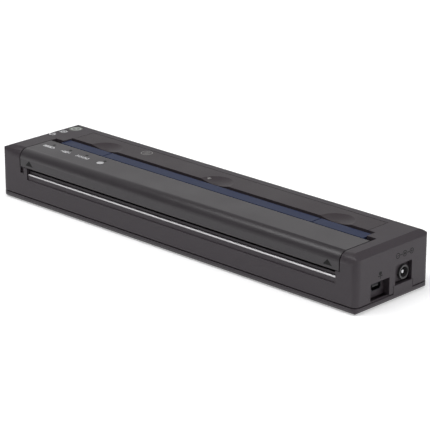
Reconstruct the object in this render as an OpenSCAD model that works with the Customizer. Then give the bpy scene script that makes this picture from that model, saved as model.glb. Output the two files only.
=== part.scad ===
// A4 portable thermal printer: a slim bar with a hinged release cover over its platen roller.
// Millimetres. X runs along the bar, Y points to the rear, Z points up from the table.

/* [Overall size] */
// Length over both ends
length = 255; // [253:0.5:258]
// Depth from the front face to the rear face
depth = 55; // [54.5:0.25:56]
// Height from the table to the top
height = 30; // [29.75:0.25:30.5]

/* [Shell] */
// Thickness of the case walls
wall = 1.8; // [1.7:0.1:1.9]
// Height of the line where the two cases meet
parting_height = 4.2; // [4:0.1:4.4]
// Height of the dark groove under that line
shadow_height = 0.7; // [0.5:0.1:0.8]
// Depth of that groove
shadow_depth = 0.8; // [0.7:0.1:0.9]
// Gap that the feet keep under the case
ground_gap = 0.6; // [0.5:0.1:0.8]
// Radius of the vertical corners
corner_radius = 3.5; // [3:0.25:4]
// Radius of the front top edge
front_radius = 5; // [4.6:0.2:5.2]
// Radius of the rear top edge
rear_radius = 3; // [2.6:0.2:3.4]
// Run of the chamfer on top of each end
end_chamfer_run = 4.7; // [4.5:0.1:4.8]
// Drop of the chamfer on top of each end
end_chamfer_drop = 2.1; // [2:0.1:2.3]
// Run of the chamfer under the case
foot_chamfer_run = 1.2; // [1:0.1:1.4]
// Rise of the chamfer under the case
foot_chamfer_rise = 1.6; // [1.4:0.1:1.8]
// Mean length of the two fixed end blocks
end_block = 12.5; // [12.4:0.1:12.6]
// Distance of the paper path's middle right of the case's middle
path_shift = 2.2; // [2.1:0.1:2.3]
// Visible seam between neighbouring covers
seam = 0.3; // [0.2:0.05:0.4]
// Thickness of the inner wall of each end block
skirt_wall = 2; // [1.9:0.1:2.1]
// Height of the lower edge of that inner wall
skirt_height = 13; // [12.5:0.25:14]
// Visible gap at each end of the release cover
cover_gap = 0.6; // [0.5:0.05:0.7]

/* [Release cover] */
// Depth from the front face to the hinge axis
hinge_depth = 22; // [21.9:0.1:22.2]
// Radius of the rolled hinge edge
barrel_radius = 2; // [1.9:0.05:2]
// Drop of the cover's front face from the top
cover_drop = 9.5; // [9.3:0.1:9.7]
// Reach of the cover's opening behind the hinge axis
hinge_opening = 4.9; // [4.6:0.1:5.1]
// Radius of the hinge pins
hinge_pin_radius = 1; // [0.9:0.05:1]
// Length of each hinge pin inside the rolled edge
hinge_pin_grip = 8; // [6:0.5:10]
// Distance of the indicator lights behind the front face
light_depth = 18; // [17.5:0.25:18.25]
// Radius of an indicator light
light_radius = 0.9; // [0.7:0.1:1]
// Length of an indicator lens below the cover
lens_length = 0.4; // [0.2:0.1:0.6]
// Distances of the indicator lights from the cover's left seam
light_insets = [8.3, 21.6, 34.5, 48.7];
// Width of the dark notch at the left end of the exit slot
catch_width = 2.6; // [2.4:0.1:2.8]
// Place of that notch inward from the seam
catch_inset = 0.4; // [0.3:0.1:0.5]
// Height of that notch below the cover's edge
catch_height = 3.7; // [3.5:0.1:3.9]
// Depth of that notch
catch_depth = 1.2; // [1:0.1:1.4]

/* [Feed slot and guides] */
// Gap between the rolled hinge edge and the feed lip
lip_gap = 0.4; // [0.35:0.05:0.5]
// Width of the coloured feed lip
lip_width = 7.6; // [7.4:0.1:7.8]
// Drop of the feed lip below the top
lip_drop = 0.6; // [0.4:0.1:0.7]
// Thickness of the feed lip
lip_thickness = 1.4; // [1.3:0.1:1.5]
// Inset of the feed lip's ends from the cover's seam
lip_inset = 6.2; // [6.1:0.1:6.4]
// Distance of the lip's grooves from its ends
groove_inset = 33; // [31:0.5:35]
// Width of a groove
groove_width = 0.6; // [0.5:0.1:0.8]
// Depth of a groove
groove_depth = 0.4; // [0.3:0.1:0.5]
// Width of the feed slot
slot_width = 1.4; // [1.3:0.1:1.5]
// Thickness of a guide wall, measured along Y
guide_thickness = 1.8; // [1.6:0.1:2]
// Forward reach of the front guide wall
front_guide_run = 9.6; // [9.4:0.1:9.7]
// Drop of the front guide wall
front_guide_drop = 9.3; // [9:0.1:9.5]
// Slant of the lower end of the front guide wall
guide_end_slant = 0.8; // [0.7:0.1:0.9]
// Inset of the guide walls' ends from the feed lip's ends
guide_inset = 3.5; // [3.3:0.1:3.7]
// Inset of the rear panel's left end from the feed lip's end
panel_left_inset = 0.8; // [0.7:0.1:1]
// Inset of the rear panel's right end from the feed lip's end
panel_right_inset = 4.4; // [4.2:0.1:4.6]
// Width of the fixed strip behind the rear panel
rear_strip = 6.5; // [6.3:0.1:6.7]
// Height of the rear panel's straight front edge
panel_edge = 2.4; // [2.2:0.1:2.6]
// Forward reach of the rear guide wall
rear_guide_run = 6.5; // [6.3:0.1:6.6]
// Gap between the rear guide wall and the print head
rear_guide_gap = 0.5; // [0.4:0.1:0.6]
// Width of the ledge under the rear panel
ledge_width = 2.2; // [2:0.1:2.4]
// Thickness of the ledge under the rear panel
ledge_thickness = 1.2; // [1:0.1:1.4]
// Half width of a finger scoop
scoop_radius = 10; // [9.5:0.25:10.5]
// Depth of a finger scoop
scoop_depth = 1.3; // [1.1:0.1:1.4]
// Distance of the outer scoops from the guide walls' ends
scoop_inset = 22; // [20:0.5:24]

/* [Exit slot] */
// Height of the paper exit slot
exit_height = 3.4; // [3.2:0.1:3.6]
// Thickness of the tear bar
tear_thickness = 0.9; // [0.8:0.1:1]
// Width of the tear bar from front to rear
tear_width = 0.8; // [0.7:0.1:0.9]
// Depth that the tear bar lies behind the front face
tear_recess = 0.8; // [0.8:0.1:1]
// Chamfer of the tear bar's edges
tear_chamfer = 0.15; // [0.1:0.05:0.2]
// Gap between the tear bar's shelf and the chassis
shelf_gap = 0.4; // [0.3:0.1:0.5]
// Height of the lip behind the tear bar, above the bar
shelf_lip_rise = 1.5; // [1.4:0.1:1.6]
// Width of that lip
shelf_lip = 0.9; // [0.8:0.1:1]
// Height of the step under the tear bar
step_height = 2.5; // [2.3:0.1:2.7]
// Depth of the step under the tear bar
step_depth = 0.6; // [0.5:0.1:0.7]
// Thickness of the shelf that carries the tear bar
shelf_thickness = 1.5; // [1.4:0.1:1.6]
// Length of the closed front between the exit slot and the left seam
exit_left_margin = 5.7; // [5.6:0.1:5.9]
// Length of the closed front between the exit slot and the right seam
exit_right_margin = 2.7; // [2.5:0.1:2.9]

/* [Platen roller] */
// Radius of the rubber
roller_radius = 5; // [4.9:0.05:5]
// Gap between the roller and the cover
roller_gap = 1.2; // [1.1:0.1:1.2]
// Distance of the roller's axis in front of the hinge axis
roller_offset = 6.3; // [6.2:0.05:6.4]
// Gap between the rubber and a bush
roller_end_gap = 1.7; // [1.5:0.1:1.9]
// Radius of the steel shaft
shaft_radius = 2.5; // [2.4:0.05:2.5]
// Outer radius of a bush
bush_radius = 3.6; // [3.5:0.1:3.7]
// Radius of a bush's flange
bush_flange_radius = 4.4; // [4.2:0.1:4.6]
// Thickness of a bush's flange
bush_flange = 0.8; // [0.7:0.1:0.9]
// Length of shaft past the right bush
shaft_tail = 2.5; // [2:0.25:3]

/* [Print head] */
// Gap between the roller and the head at rest
head_gap = 0.1; // [0.1:0.05:0.2]
// Width of the ceramic strip
ceramic_width = 12; // [11.5:0.25:12.5]
// Thickness of the ceramic strip
ceramic_thickness = 0.9; // [0.8:0.1:1]
// Reach of the head in front of the roller's axis
head_front_reach = 6; // [5.9:0.1:6.1]
// Width of the heat sink
sink_width = 17; // [16.75:0.25:17]
// Thickness of the heat sink
sink_thickness = 3.1; // [3:0.1:3.1]
// Gap between the head and the side plates
head_side_gap = 1.5; // [1.3:0.1:1.7]
// Width of a groove under the heat sink
sink_groove = 1.6; // [1.4:0.1:1.8]
// Depth of a groove under the heat sink
sink_groove_depth = 1.2; // [1:0.1:1.4]
// Places of the grooves across the heat sink
sink_groove_shares = [0.14, 0.86];
// Height of the head springs
spring_height = 3.3; // [3.2:0.1:3.4]
// Thickness of a spring leaf
spring_leaf = 0.3; // [0.2:0.05:0.35]
// Length of a spring leaf's slope
spring_slope = 6; // [5.5:0.25:6.5]
// Length of a spring leaf's flat
spring_flat = 3; // [2.5:0.25:3.5]
// Width of a spring leaf
spring_width = 6; // [5:0.5:7]
// Distance between the springs
spring_spacing = 70; // [65:1:74]

/* [Gear train] */
// Module of the gear teeth
gear_module = 0.5; // [0.49:0.005:0.5]
// Teeth of the platen gear and of the rear idler
platen_teeth = 20;
// Teeth of the front idler
front_idler_teeth = 26;
// Teeth of the motor pinion
pinion_teeth = 10;
// Pressure angle of the teeth
pressure_angle = 20;
// Height of a tooth above the pitch circle, in modules
addendum_share = 0.85;
// Depth of a tooth below the pitch circle, in modules
dedendum_share = 1.25;
// Play between two flanks
flank_play = 0.1; // [0.08:0.01:0.12]
// Width of the gears
gear_width = 3.5; // [3.3:0.1:3.6]
// Gap between the side plate and the gears
gear_gap = 1.5; // [1.4:0.1:1.6]
// Slope of the line from the platen gear to the front idler
front_idler_angle = -29;
// Slope of the line from the front idler to the rear idler
rear_idler_angle = -9.6;
// Slope of the line from the rear idler to the pinion
pinion_angle = 36;
// Radius of the idler studs
stud_radius = 1.5; // [1.4:0.05:1.5]
// Radius of a stud's head
stud_head_radius = 2.4; // [2.2:0.1:2.6]
// Thickness of a stud's head
stud_head = 0.5; // [0.4:0.1:0.6]
// Radius of the spacer hub on an idler
idler_hub_radius = 2.8; // [2.6:0.1:3]
// Radius of the motor body
motor_radius = 7.5; // [7.3:0.1:7.5]
// Length of the motor body
motor_length = 18; // [17:0.5:19]
// Radius of the motor's front boss
motor_boss_radius = 3; // [2.8:0.1:3]
// Radius of the motor shaft
motor_shaft_radius = 0.75; // [0.7:0.05:0.8]
// Length of the motor's rear cap
motor_cap = 2; // [1.6:0.2:2.4]
// Radius of the motor's rear cap
motor_cap_radius = 6; // [5.6:0.2:6.4]
// Length of a motor terminal
motor_terminal = 1.6; // [1.4:0.2:2]
// Width of a motor terminal
motor_terminal_width = 2; // [1.8:0.1:2.2]
// Thickness of a motor terminal
motor_terminal_thickness = 0.5; // [0.4:0.1:0.6]
// Distance between the motor terminals
motor_terminal_spacing = 7; // [6:0.5:8]

/* [Chassis] */
// Thickness of the sheet steel
sheet = 1.2; // [1.1:0.1:1.3]
// Thickness of the side plates
side_plate = 1.5; // [1.4:0.1:1.6]
// Distance of the side plates inward from the seam
plate_inset = 6.5; // [6.4:0.1:6.6]
// Reach of the base plate in front of the roller's axis
base_front_reach = 7.5; // [7.4:0.1:7.6]
// Width of the base plate
base_width = 20; // [19.8:0.1:20]
// Reach of the right side plate behind the feed lip's front edge
right_plate_reach = 9.8; // [9.6:0.1:10]
// Gap between the left side plate and the rear wall
left_plate_gap = 0.5; // [0.4:0.1:0.7]
// Height of a side plate above the roller's axis
plate_rise = 4.5; // [4.3:0.1:4.6]
// Height of a side plate under the hinge, above the roller's axis
plate_dip = 3.4; // [3.2:0.1:3.5]
// Reach of a side plate's top beside the roller's axis
plate_shoulder = 3.8; // [3.6:0.1:4]
// Reach of the lip's rest in front of the lip's rear edge
rest_margin = 0.8; // [0.6:0.1:1]
// Distance of the chassis screws inward from the seam
chassis_screw_inset = 21.7; // [21:0.5:24]
// Distance of the front chassis screws in front of the base plate
front_tab_reach = 2.8; // [2.7:0.1:2.9]
// Distance of the rear chassis screws behind the base plate
rear_tab_reach = 3.6; // [3.5:0.1:3.7]
// Half width of a chassis tab
tab_radius = 3; // [2.9:0.1:3.1]
// Radius of the chassis screws
chassis_screw_radius = 1.2; // [1.1:0.1:1.2]
// Radius of the chassis screw heads
chassis_head_radius = 2.2; // [2:0.1:2.3]
// Height of the chassis screw heads
chassis_head = 1; // [0.9:0.1:1.2]
// Length of the chassis screws in their posts
chassis_screw_grip = 4; // [3.5:0.25:4.5]
// Radius of a chassis post
chassis_post_radius = 2.8; // [2.6:0.1:3]

/* [Main board] */
// Height of the main board above the lower case's floor
board_rise = 4; // [3.8:0.05:4]
// Gap between the board's edge and the head cable's connector
connector_inset = 0.8; // [0.7:0.1:0.9]
// Thickness of the boards
board_thickness = 1.2; // [1:0.1:1.2]
// Left end of the main board, left of the middle
board_left = 60; // [56:1:64]
// Gap between the main board and the base plate's front
board_front_inset = 1; // [0.8:0.1:1.2]
// Width of the main board
board_width = 19.4; // [19:0.1:19.6]
// Length of the wide right end of the main board
board_end_length = 17.5; // [16.5:0.25:17.75]
// Width of the wide right end of the main board
board_end_width = 34; // [33.5:0.25:34.5]
// Gap between the board and the socket walls
board_end_gap = 0.7; // [0.5:0.1:0.9]
// Radius of a board screw
board_screw_radius = 0.8; // [0.7:0.1:0.8]
// Radius of a board screw's head
board_head_radius = 1.6; // [1.5:0.1:1.7]
// Height of a board screw's head
board_head = 0.6; // [0.5:0.1:0.7]
// Length of a board screw below the board
board_screw_grip = 3; // [2.6:0.2:3.2]
// Radius of a board post
board_post_radius = 2; // [1.8:0.1:2.1]
// Inset of the board screws from the board's edges
board_screw_inset = 3; // [2.8:0.1:3.4]
// Distance of the middle board screw from the middle
board_screw_middle = 35; // [30:1:50]
// Length of the processor
chip_length = 12; // [11:0.5:13]
// Height of the processor
chip_height = 1.3; // [1.1:0.1:1.5]
// Place of the processor, right of the middle
chip_place = 12; // [8:1:16]
// Length of the memory chip
memory_length = 10; // [9:0.5:11]
// Width of the memory chip
memory_width = 6; // [5.5:0.5:6.5]
// Place of the memory chip, left of the middle
memory_place = 10; // [8:1:14]
// Radius of a capacitor
capacitor_radius = 1.7; // [1.5:0.1:1.9]
// Height of a capacitor
capacitor_height = 2.8; // [2.6:0.1:3]
// Distance between the capacitors
capacitor_spacing = 8; // [7:0.5:9]
// Place of the capacitors, right of the middle
capacitor_place = 60; // [56:1:64]
// Width of the head cable
cable_width = 24; // [22:1:26]
// Thickness of the head cable
cable_thickness = 0.25; // [0.2:0.05:0.3]
// Inner radius of the head cable's bends
cable_bend = 0.8; // [0.7:0.1:0.9]
// Height of the cable's upper run below the heat sink's top
cable_drop = 1.6; // [1.4:0.1:1.8]
// Reach of the cable behind the base plate
cable_reach = 1.1; // [1:0.1:1.2]
// Place of the cable, right of the middle
cable_place = 32; // [28:1:36]
// Width of the cable's connector
connector_width = 2.8; // [2.6:0.1:3]
// Height of the cable's connector
connector_height = 0.7; // [0.6:0.05:0.7]
// Overlap of the connector past each side of the cable
connector_margin = 1; // [0.8:0.1:1.2]

/* [Sockets] */
// Distance of the data socket's recess behind the front face
usb_recess_start = 10.9; // [10.7:0.1:11.1]
// Width of the data socket's recess
usb_recess_width = 14; // [13.8:0.1:14.2]
// Height of the data socket's recess above the parting line
usb_recess_height = 9.3; // [9.1:0.1:9.5]
// Depth of the data socket's recess
usb_recess_depth = 3.8; // [3.6:0.1:4]
// Distance of the data socket's centre behind the front face
usb_centre = 18.5; // [18.3:0.1:18.7]
// Width of the data socket
usb_width = 7.7; // [7.6:0.1:7.8]
// Height of the data socket
usb_height = 3.9; // [3.8:0.1:4]
// Length of the data socket
usb_length = 8.5; // [8:0.25:9]
// Reach of the data socket out of its wall
usb_reach = 0.5; // [0.3:0.1:0.7]
// Thickness of the data socket's metal
usb_metal = 0.4; // [0.3:0.05:0.45]
// Inset of the data socket's lower corners
usb_taper = 1; // [0.8:0.1:1.2]
// Height of the data socket's feet
usb_standoff = 0.05; // [0.05:0.05:0.1]
// Width of the contact tongue
tongue_width = 4.6; // [4.4:0.1:4.8]
// Thickness of the contact tongue
tongue_thickness = 1; // [0.9:0.1:1.1]
// Thickness of the walls around a socket's recess
recess_wall = 1.5; // [1.3:0.1:1.6]
// Distance of the power socket's recess behind the front face
dc_recess_start = 29.1; // [28.9:0.1:29.3]
// Width of the power socket's recess
dc_recess_width = 12.6; // [12.4:0.1:12.8]
// Height of the tab under the power socket
dc_tab_height = 3.6; // [3.5:0.1:3.7]
// Overlap of that tab past each side of the recess
dc_tab_margin = 0.9; // [0.8:0.1:1]
// Height of the power socket's recess
dc_recess_height = 10.3; // [10.1:0.1:10.5]
// Depth of the power socket's recess
dc_recess_depth = 2.7; // [2.5:0.1:2.9]
// Distance of the power socket's centre behind the front face
dc_centre = 37.7; // [37.5:0.1:37.9]
// Width of the power socket's body
dc_width = 9; // [8.8:0.1:9]
// Height of the power socket's centre above the board
dc_rise = 4.7; // [4.6:0.1:4.8]
// Length of the power socket's body
dc_length = 11.5; // [11:0.25:12]
// Radius of the power socket's collar
dc_collar_radius = 3.6; // [3.5:0.1:3.7]
// Reach of the power socket's collar into the recess
dc_collar = 1.2; // [1:0.1:1.4]
// Radius of the power socket's hole
dc_hole_radius = 2.75; // [2.7:0.05:2.8]
// Depth of the power socket's hole
dc_hole_depth = 9; // [8.5:0.25:9.5]
// Radius of the power socket's centre pin
dc_pin_radius = 0.85; // [0.8:0.05:0.9]
// Depth of the pin's tip inside the collar
dc_pin_inset = 1; // [0.8:0.1:1.2]
// Radius of the power socket's contact springs
dc_spring_radius = 0.35; // [0.3:0.05:0.4]
// Distance of the contact springs from the pin
dc_spring_offset = 1.9; // [1.8:0.05:2]
// Turn of the contact springs round the pin
dc_spring_turn = 33; // [25:1:40]

/* [Battery] */
// Gap between the battery and the main board's wide end
battery_end_gap = 4; // [3.5:0.25:5]
// Length of the battery
battery_length = 138; // [134:1:142]
// Gap between the battery and the right side plate
battery_front_gap = 1.7; // [1.6:0.1:1.8]
// Height of the battery
battery_height = 18; // [17.5:0.1:18]
// Radius of the battery's long edges
battery_radius = 2; // [1.5:0.25:2.5]
// Width of a rib under the battery
rib_width = 1.6; // [1.4:0.1:1.8]
// Play between the battery and the door opening
battery_play = 0.35; // [0.3:0.05:0.4]
// Margin of the door opening past each end of the battery
door_margin = 2; // [1.8:0.1:2.2]
// Margin of the door opening above the battery
door_top_margin = 0.9; // [0.8:0.05:1]
// Width of a tongue on the door
door_tongue = 6; // [5:0.5:7]
// Thickness of a tongue on the door
door_tongue_thickness = 0.5; // [0.4:0.1:0.5]
// Length of a tongue on the door
door_tongue_length = 3; // [2.5:0.25:3.5]
// Radius of the finger hollow in the door
door_hollow_radius = 5; // [4:0.25:6]
// Depth of the finger hollow in the door
door_hollow_depth = 0.9; // [0.7:0.1:1]
// Length of the contact block along the bar
contact_length = 3; // [2.8:0.1:3.2]
// Width of the contact block
contact_width = 11; // [10.5:0.25:11.5]
// Distance of the contact block in front of the battery's rear
contact_inset = 3; // [2.5:0.25:3.5]
// Height of the contact block
contact_height = 9; // [8.5:0.25:9.5]
// Width of a contact blade
blade_width = 1.2; // [1:0.1:1.4]
// Thickness of a contact blade
blade_thickness = 0.4; // [0.4:0.05:0.5]
// Distance between the contact blades
blade_spacing = 3.2; // [3:0.1:3.4]
// Height of a contact blade
blade_height = 5; // [4.5:0.25:5.5]

/* [Buttons] */
// Inset of the feed button from the left end
feed_inset = 8.8; // [8.8:0.1:9]
// Distance of the feed button behind the front face
feed_depth = 46.9; // [46.8:0.1:47.1]
// Radius of the feed button
feed_radius = 3.9; // [3.7:0.1:3.9]
// Inset of the power button from the left end
power_inset = 7.7; // [7.6:0.1:7.9]
// Distance of the power button behind the front face
power_depth = 38.8; // [38.6:0.1:38.9]
// Radius of the power button
power_radius = 2.6; // [2.5:0.05:2.65]
// Gap around a button
button_gap = 0.15; // [0.1:0.05:0.2]
// Depth that a button lies below the top
button_recess = 0.2; // [0.1:0.05:0.3]
// Width of the flange that keeps a button in
button_flange = 0.6; // [0.5:0.05:0.6]
// Thickness of that flange
button_flange_thickness = 0.5; // [0.4:0.1:0.6]
// Travel of a button
button_travel = 0.5; // [0.4:0.1:0.5]
// Radius of a button's stem
button_stem_radius = 1.4; // [1.2:0.1:1.6]
// Length of a button's stem below its flange
button_stem = 0.6; // [0.5:0.1:0.6]
// Drop of the button board below the case's top wall
button_board_drop = 3.7; // [3.6:0.1:3.7]
// Width of the button board along the bar
button_board_width = 12.8; // [12.4:0.1:12.9]
// Gap between the button board and the end wall
button_board_gap = 0.4; // [0.3:0.1:0.5]
// Length of the button board
button_board_length = 21; // [20.5:0.25:21]
// Distance of the button board behind the front face
button_board_start = 29.5; // [29.4:0.1:29.8]
// Side of a push switch
switch_side = 4.5; // [4.2:0.1:4.8]
// Height of a push switch
switch_height = 1.4; // [1.3:0.1:1.4]
// Radius of a push switch's plunger
plunger_radius = 1; // [0.9:0.1:1.1]
// Height of a push switch's plunger
plunger_height = 0.4; // [0.3:0.05:0.4]
// Inset of the button board's bosses from its corners
button_boss_inset = 2; // [1.9:0.1:2.1]
// Radius of the button board's bosses
button_boss_radius = 1.4; // [1.3:0.1:1.5]

/* [Paper sensor] */
// Length of the paper sensor along the bar
sensor_length = 6; // [5.5:0.25:6.5]
// Width of the paper sensor
sensor_width = 3; // [2.8:0.1:3.2]
// Thickness of the paper sensor
sensor_thickness = 1.6; // [1.4:0.1:1.8]
// Distance of the paper sensor up the rear guide wall
sensor_rise = 3.2; // [3:0.1:3.4]
// Place of the paper sensor, right of the middle
sensor_place = 14; // [10:1:18]
// Side of the window that the sensor looks through
window_side = 2; // [1.8:0.1:2.2]

/* [Feet and case screws] */
// Radius of a rubber foot
foot_radius = 4.5; // [4.2:0.1:4.8]
// Depth of a foot's pocket
foot_pocket = 0.6; // [0.5:0.1:0.7]
// Inset of the feet from the ends
foot_end_inset = 15.5; // [15:0.25:17]
// Inset of the feet from the front and the rear
foot_side_inset = 8.5; // [8:0.25:9]
// Inset of the case screws from the case's sides
case_screw_inset = 5.1; // [5:0.1:5.2]
// Radius of a case screw
case_screw_radius = 1.1; // [1:0.1:1.2]
// Radius of a case screw's head
case_head_radius = 2; // [1.9:0.1:2.1]
// Height of a case screw's head
case_head = 1.2; // [1.1:0.1:1.3]
// Depth of a case screw's head below the case
case_head_depth = 0.5; // [0.4:0.1:0.6]
// Length of a case screw above its head
case_screw_length = 10; // [9:0.5:11]
// Radius of a screw boss
case_boss_radius = 3.4; // [3.3:0.1:3.5]
// Height of the lower case's screw posts above the parting line
case_post_rise = 1.4; // [1.2:0.1:1.6]
// Height of the upper case's screw bosses
case_boss_height = 13; // [12:0.5:14]

/* [Fits] */
// Running clearance on a turning shaft, in radius
running = 0.05; // [0.04:0.01:0.06]
// Gap between parts that only stand side by side
clearance = 0.15; // [0.1:0.05:0.2]
// Overlap that joins two shapes of one piece
bite = 0.5; // [0.4:0.1:0.6]

/* [Hidden] */
// Overrun of a cut past the surface it opens
over = 1;
// Angles and shares
quarter = 90;
half = 0.5;
turn = 360;
$fn = 72;

// Planes of the case
half_length = length * half;
front_y = -depth * half;
rear_y = depth * half;
roof = height - wall;
floor_top = ground_gap + wall;
seam_x = half_length - end_block;
cover_half = seam_x - cover_gap;

// Release cover and hinge
hinge_y = front_y + hinge_depth;
hinge_z = height - barrel_radius;
cover_edge = height - cover_drop;

// Feed lip, slot and rear panel
lip_front = hinge_y + barrel_radius + lip_gap;
lip_rear = lip_front + lip_width;
lip_top = height - lip_drop;
lip_under = lip_top - lip_thickness;
lip_half = seam_x - lip_inset - seam;
panel_front = lip_rear + slot_width;
panel_rear = rear_y - rear_strip;
guide_half = lip_half - guide_inset;
panel_left = -lip_half + panel_left_inset;
panel_right = lip_half - panel_right_inset;

// Roller, head and chassis, from the top down
roller_y = hinge_y - roller_offset;
roller_z = roof - roller_gap - roller_radius;
head_top = roller_z - roller_radius - head_gap;
sink_top = head_top - ceramic_thickness;
sink_bottom = sink_top - sink_thickness;
base_top = sink_bottom - spring_height;
base_bottom = base_top - sheet;
head_front = roller_y - head_front_reach;
plate_outer = seam_x - plate_inset;
plate_inner = plate_outer - side_plate;
head_half = plate_inner - head_side_gap;
roller_half = plate_inner - bush_flange - roller_end_gap;
base_front = roller_y - base_front_reach;
base_rear = base_front + base_width;

// Exit slot
tear_top = cover_edge - exit_height;
tear_bottom = tear_top - tear_thickness;
step_bottom = tear_bottom - step_height;
exit_left = -seam_x + exit_left_margin;
exit_right = seam_x - exit_right_margin;
tear_left = exit_left + seam;
tear_right = exit_right - seam;
tear_front = front_y + tear_recess;
tear_rear = tear_front + tear_width;
shelf_rear = base_front - shelf_gap;

// Gear centres in the YZ plane
platen_pitch = gear_module * platen_teeth * half;
front_idler_pitch = gear_module * front_idler_teeth * half;
pinion_pitch = gear_module * pinion_teeth * half;
platen_centre = [roller_y, roller_z];
front_idler_centre = platen_centre
  + (platen_pitch + front_idler_pitch) * [cos(front_idler_angle), sin(front_idler_angle)];
rear_idler_centre = front_idler_centre
  + (front_idler_pitch + platen_pitch) * [cos(rear_idler_angle), sin(rear_idler_angle)];
pinion_centre = rear_idler_centre
  + (platen_pitch + pinion_pitch) * [cos(pinion_angle), sin(pinion_angle)];
gear_right = -plate_outer - gear_gap;
gear_left = gear_right - gear_width;
stud_end = gear_left - clearance;

// Turn that puts the next gear's gap against this gear's tooth
function mesh_turn(turned, teeth, direction, next_teeth) =
  direction + 2 * quarter
  - (half - (direction - turned) * teeth / turn) * turn / next_teeth;
front_idler_turn = mesh_turn(0, platen_teeth, front_idler_angle, front_idler_teeth);
rear_idler_turn = mesh_turn(front_idler_turn, front_idler_teeth, rear_idler_angle, platen_teeth);
pinion_turn = mesh_turn(rear_idler_turn, platen_teeth, pinion_angle, pinion_teeth);

// Main board and sockets
board_bottom = floor_top + board_rise;
board_top = board_bottom + board_thickness;
board_front = base_front + board_front_inset;
board_right = half_length - usb_recess_depth - recess_wall - board_end_gap;
board_step = board_right - board_end_length;
usb_y = front_y + usb_centre;
usb_bottom = board_top + usb_standoff;
usb_z = usb_bottom + usb_height * half;
usb_recess_y = front_y + usb_recess_start;
dc_y = front_y + dc_centre;
dc_z = board_top + dc_rise;
dc_recess_y = front_y + dc_recess_start;
dc_tab_top = parting_height + dc_tab_height;
dc_recess_floor = half_length - dc_recess_depth;
usb_recess_floor = half_length - usb_recess_depth;
board_screws_xy = [
  [-board_left + board_screw_inset, board_front + board_screw_inset],
  [board_screw_middle, board_front + board_screw_inset],
  [board_step + board_screw_inset, board_front + board_screw_inset],
  [board_step + board_screw_inset, board_front + board_end_width - board_screw_inset]
];

// Battery and its door
battery_right = board_step - battery_end_gap;
battery_left = battery_right - battery_length;
battery_rear = rear_y - wall - battery_play;
battery_front = lip_front + right_plate_reach + battery_front_gap;
battery_width = battery_rear - battery_front;
battery_bottom = parting_height + battery_play;
battery_top = battery_bottom + battery_height;
door_left = battery_left - door_margin;
door_right = battery_right + door_margin;
door_top = battery_top + door_top_margin;

// Buttons
feed_xy = [-half_length + feed_inset, front_y + feed_depth];
power_xy = [-half_length + power_inset, front_y + power_depth];
button_wall_x = -half_length + wall + end_chamfer_run + clearance;
button_board_top = roof - button_board_drop;
button_board_x = -half_length + wall + button_board_gap;
button_board_y = front_y + button_board_start;
button_bosses_xy = [
  [button_board_x + button_boss_inset, button_board_y + button_board_length - button_boss_inset],
  [button_board_x + button_boss_inset, button_board_y + button_boss_inset]
];

// Screws and feet
case_screw_x = half_length - case_screw_inset;
case_screw_y = depth * half - case_screw_inset;
chassis_screw_x = seam_x - chassis_screw_inset;
chassis_front_y = base_front - front_tab_reach;
chassis_rear_y = base_rear + rear_tab_reach;
foot_x = half_length - foot_end_inset;
foot_y = depth * half - foot_side_inset;

// Rear guide wall, as a line in the YZ plane
guide_low = [panel_front - rear_guide_run, head_top + rear_guide_gap];
guide_high = [panel_front, height - panel_edge];
guide_angle = atan2(guide_high[1] - guide_low[1], guide_high[0] - guide_low[0]);

// A block between two opposite corners
module slab(low, high) {
  translate(low) cube(high - low);
}

// An outline in the YZ plane, drawn out along X
module along_x(from, to) {
  translate([from, 0, 0]) rotate([quarter, 0, quarter]) linear_extrude(to - from) children();
}

// An outline in the XZ plane, drawn out along Y
module along_y(from, to) {
  translate([0, to, 0]) rotate([quarter, 0, 0]) linear_extrude(to - from) children();
}

// A round bar along X through a point of the YZ plane
module rod(from, to, centre, radius) {
  translate([from, centre[0], centre[1]]) rotate([0, quarter, 0]) cylinder(h = to - from, r = radius);
}

// A round post along Z
module post(at, from, to, radius) {
  translate([at[0], at[1], from]) cylinder(h = to - from, r = radius);
}

// The same shape on the right and mirrored on the left
module both_ends() {
  children();
  mirror([1, 0, 0]) children();
}

// The same shape at all four corners
module all_corners() {
  both_ends() {
    children();
    mirror([0, 1, 0]) children();
  }
}

// A shape in line with the paper path, which lies right of the case's middle
module in_line() {
  translate([path_shift, 0, 0]) children();
}

// Cross-section of the bar, drawn in by an inset
module side_outline(inset) {
  translate([front_y + front_radius, height - front_radius]) circle(front_radius - inset);
  translate([rear_y - rear_radius, height - rear_radius]) circle(rear_radius - inset);
  polygon([
    [front_y + inset + foot_chamfer_run, ground_gap + inset],
    [rear_y - inset - foot_chamfer_run, ground_gap + inset],
    [rear_y - inset, ground_gap + inset + foot_chamfer_rise],
    [rear_y - inset, height - rear_radius],
    [rear_y - rear_radius, height - inset],
    [front_y + front_radius, height - inset],
    [front_y + inset, height - front_radius],
    [front_y + inset, ground_gap + inset + foot_chamfer_rise]
  ]);
}

// Plan of the bar with rounded corners
module plan_outline(inset) {
  x = half_length - inset;
  y = rear_y - inset;
  r = corner_radius - inset;
  translate([-x + r, -y]) square([2 * (x - r), 2 * y]);
  translate([-x, -y + r]) square([2 * x, 2 * (y - r)]);
  for (i = [-1, 1]) {
    for (j = [-1, 1]) {
      translate([i * (x - r), j * (y - r)]) circle(r);
    }
  }
}

// Front view of the bar with its chamfered ends
module end_outline(inset) {
  x = half_length - inset;
  polygon([
    [-x + foot_chamfer_run, ground_gap + inset],
    [x - foot_chamfer_run, ground_gap + inset],
    [x, ground_gap + inset + foot_chamfer_rise],
    [x, height - inset - end_chamfer_drop],
    [x - end_chamfer_run, height - inset],
    [-x + end_chamfer_run, height - inset],
    [-x, height - inset - end_chamfer_drop],
    [-x, ground_gap + inset + foot_chamfer_rise]
  ]);
}

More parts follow.
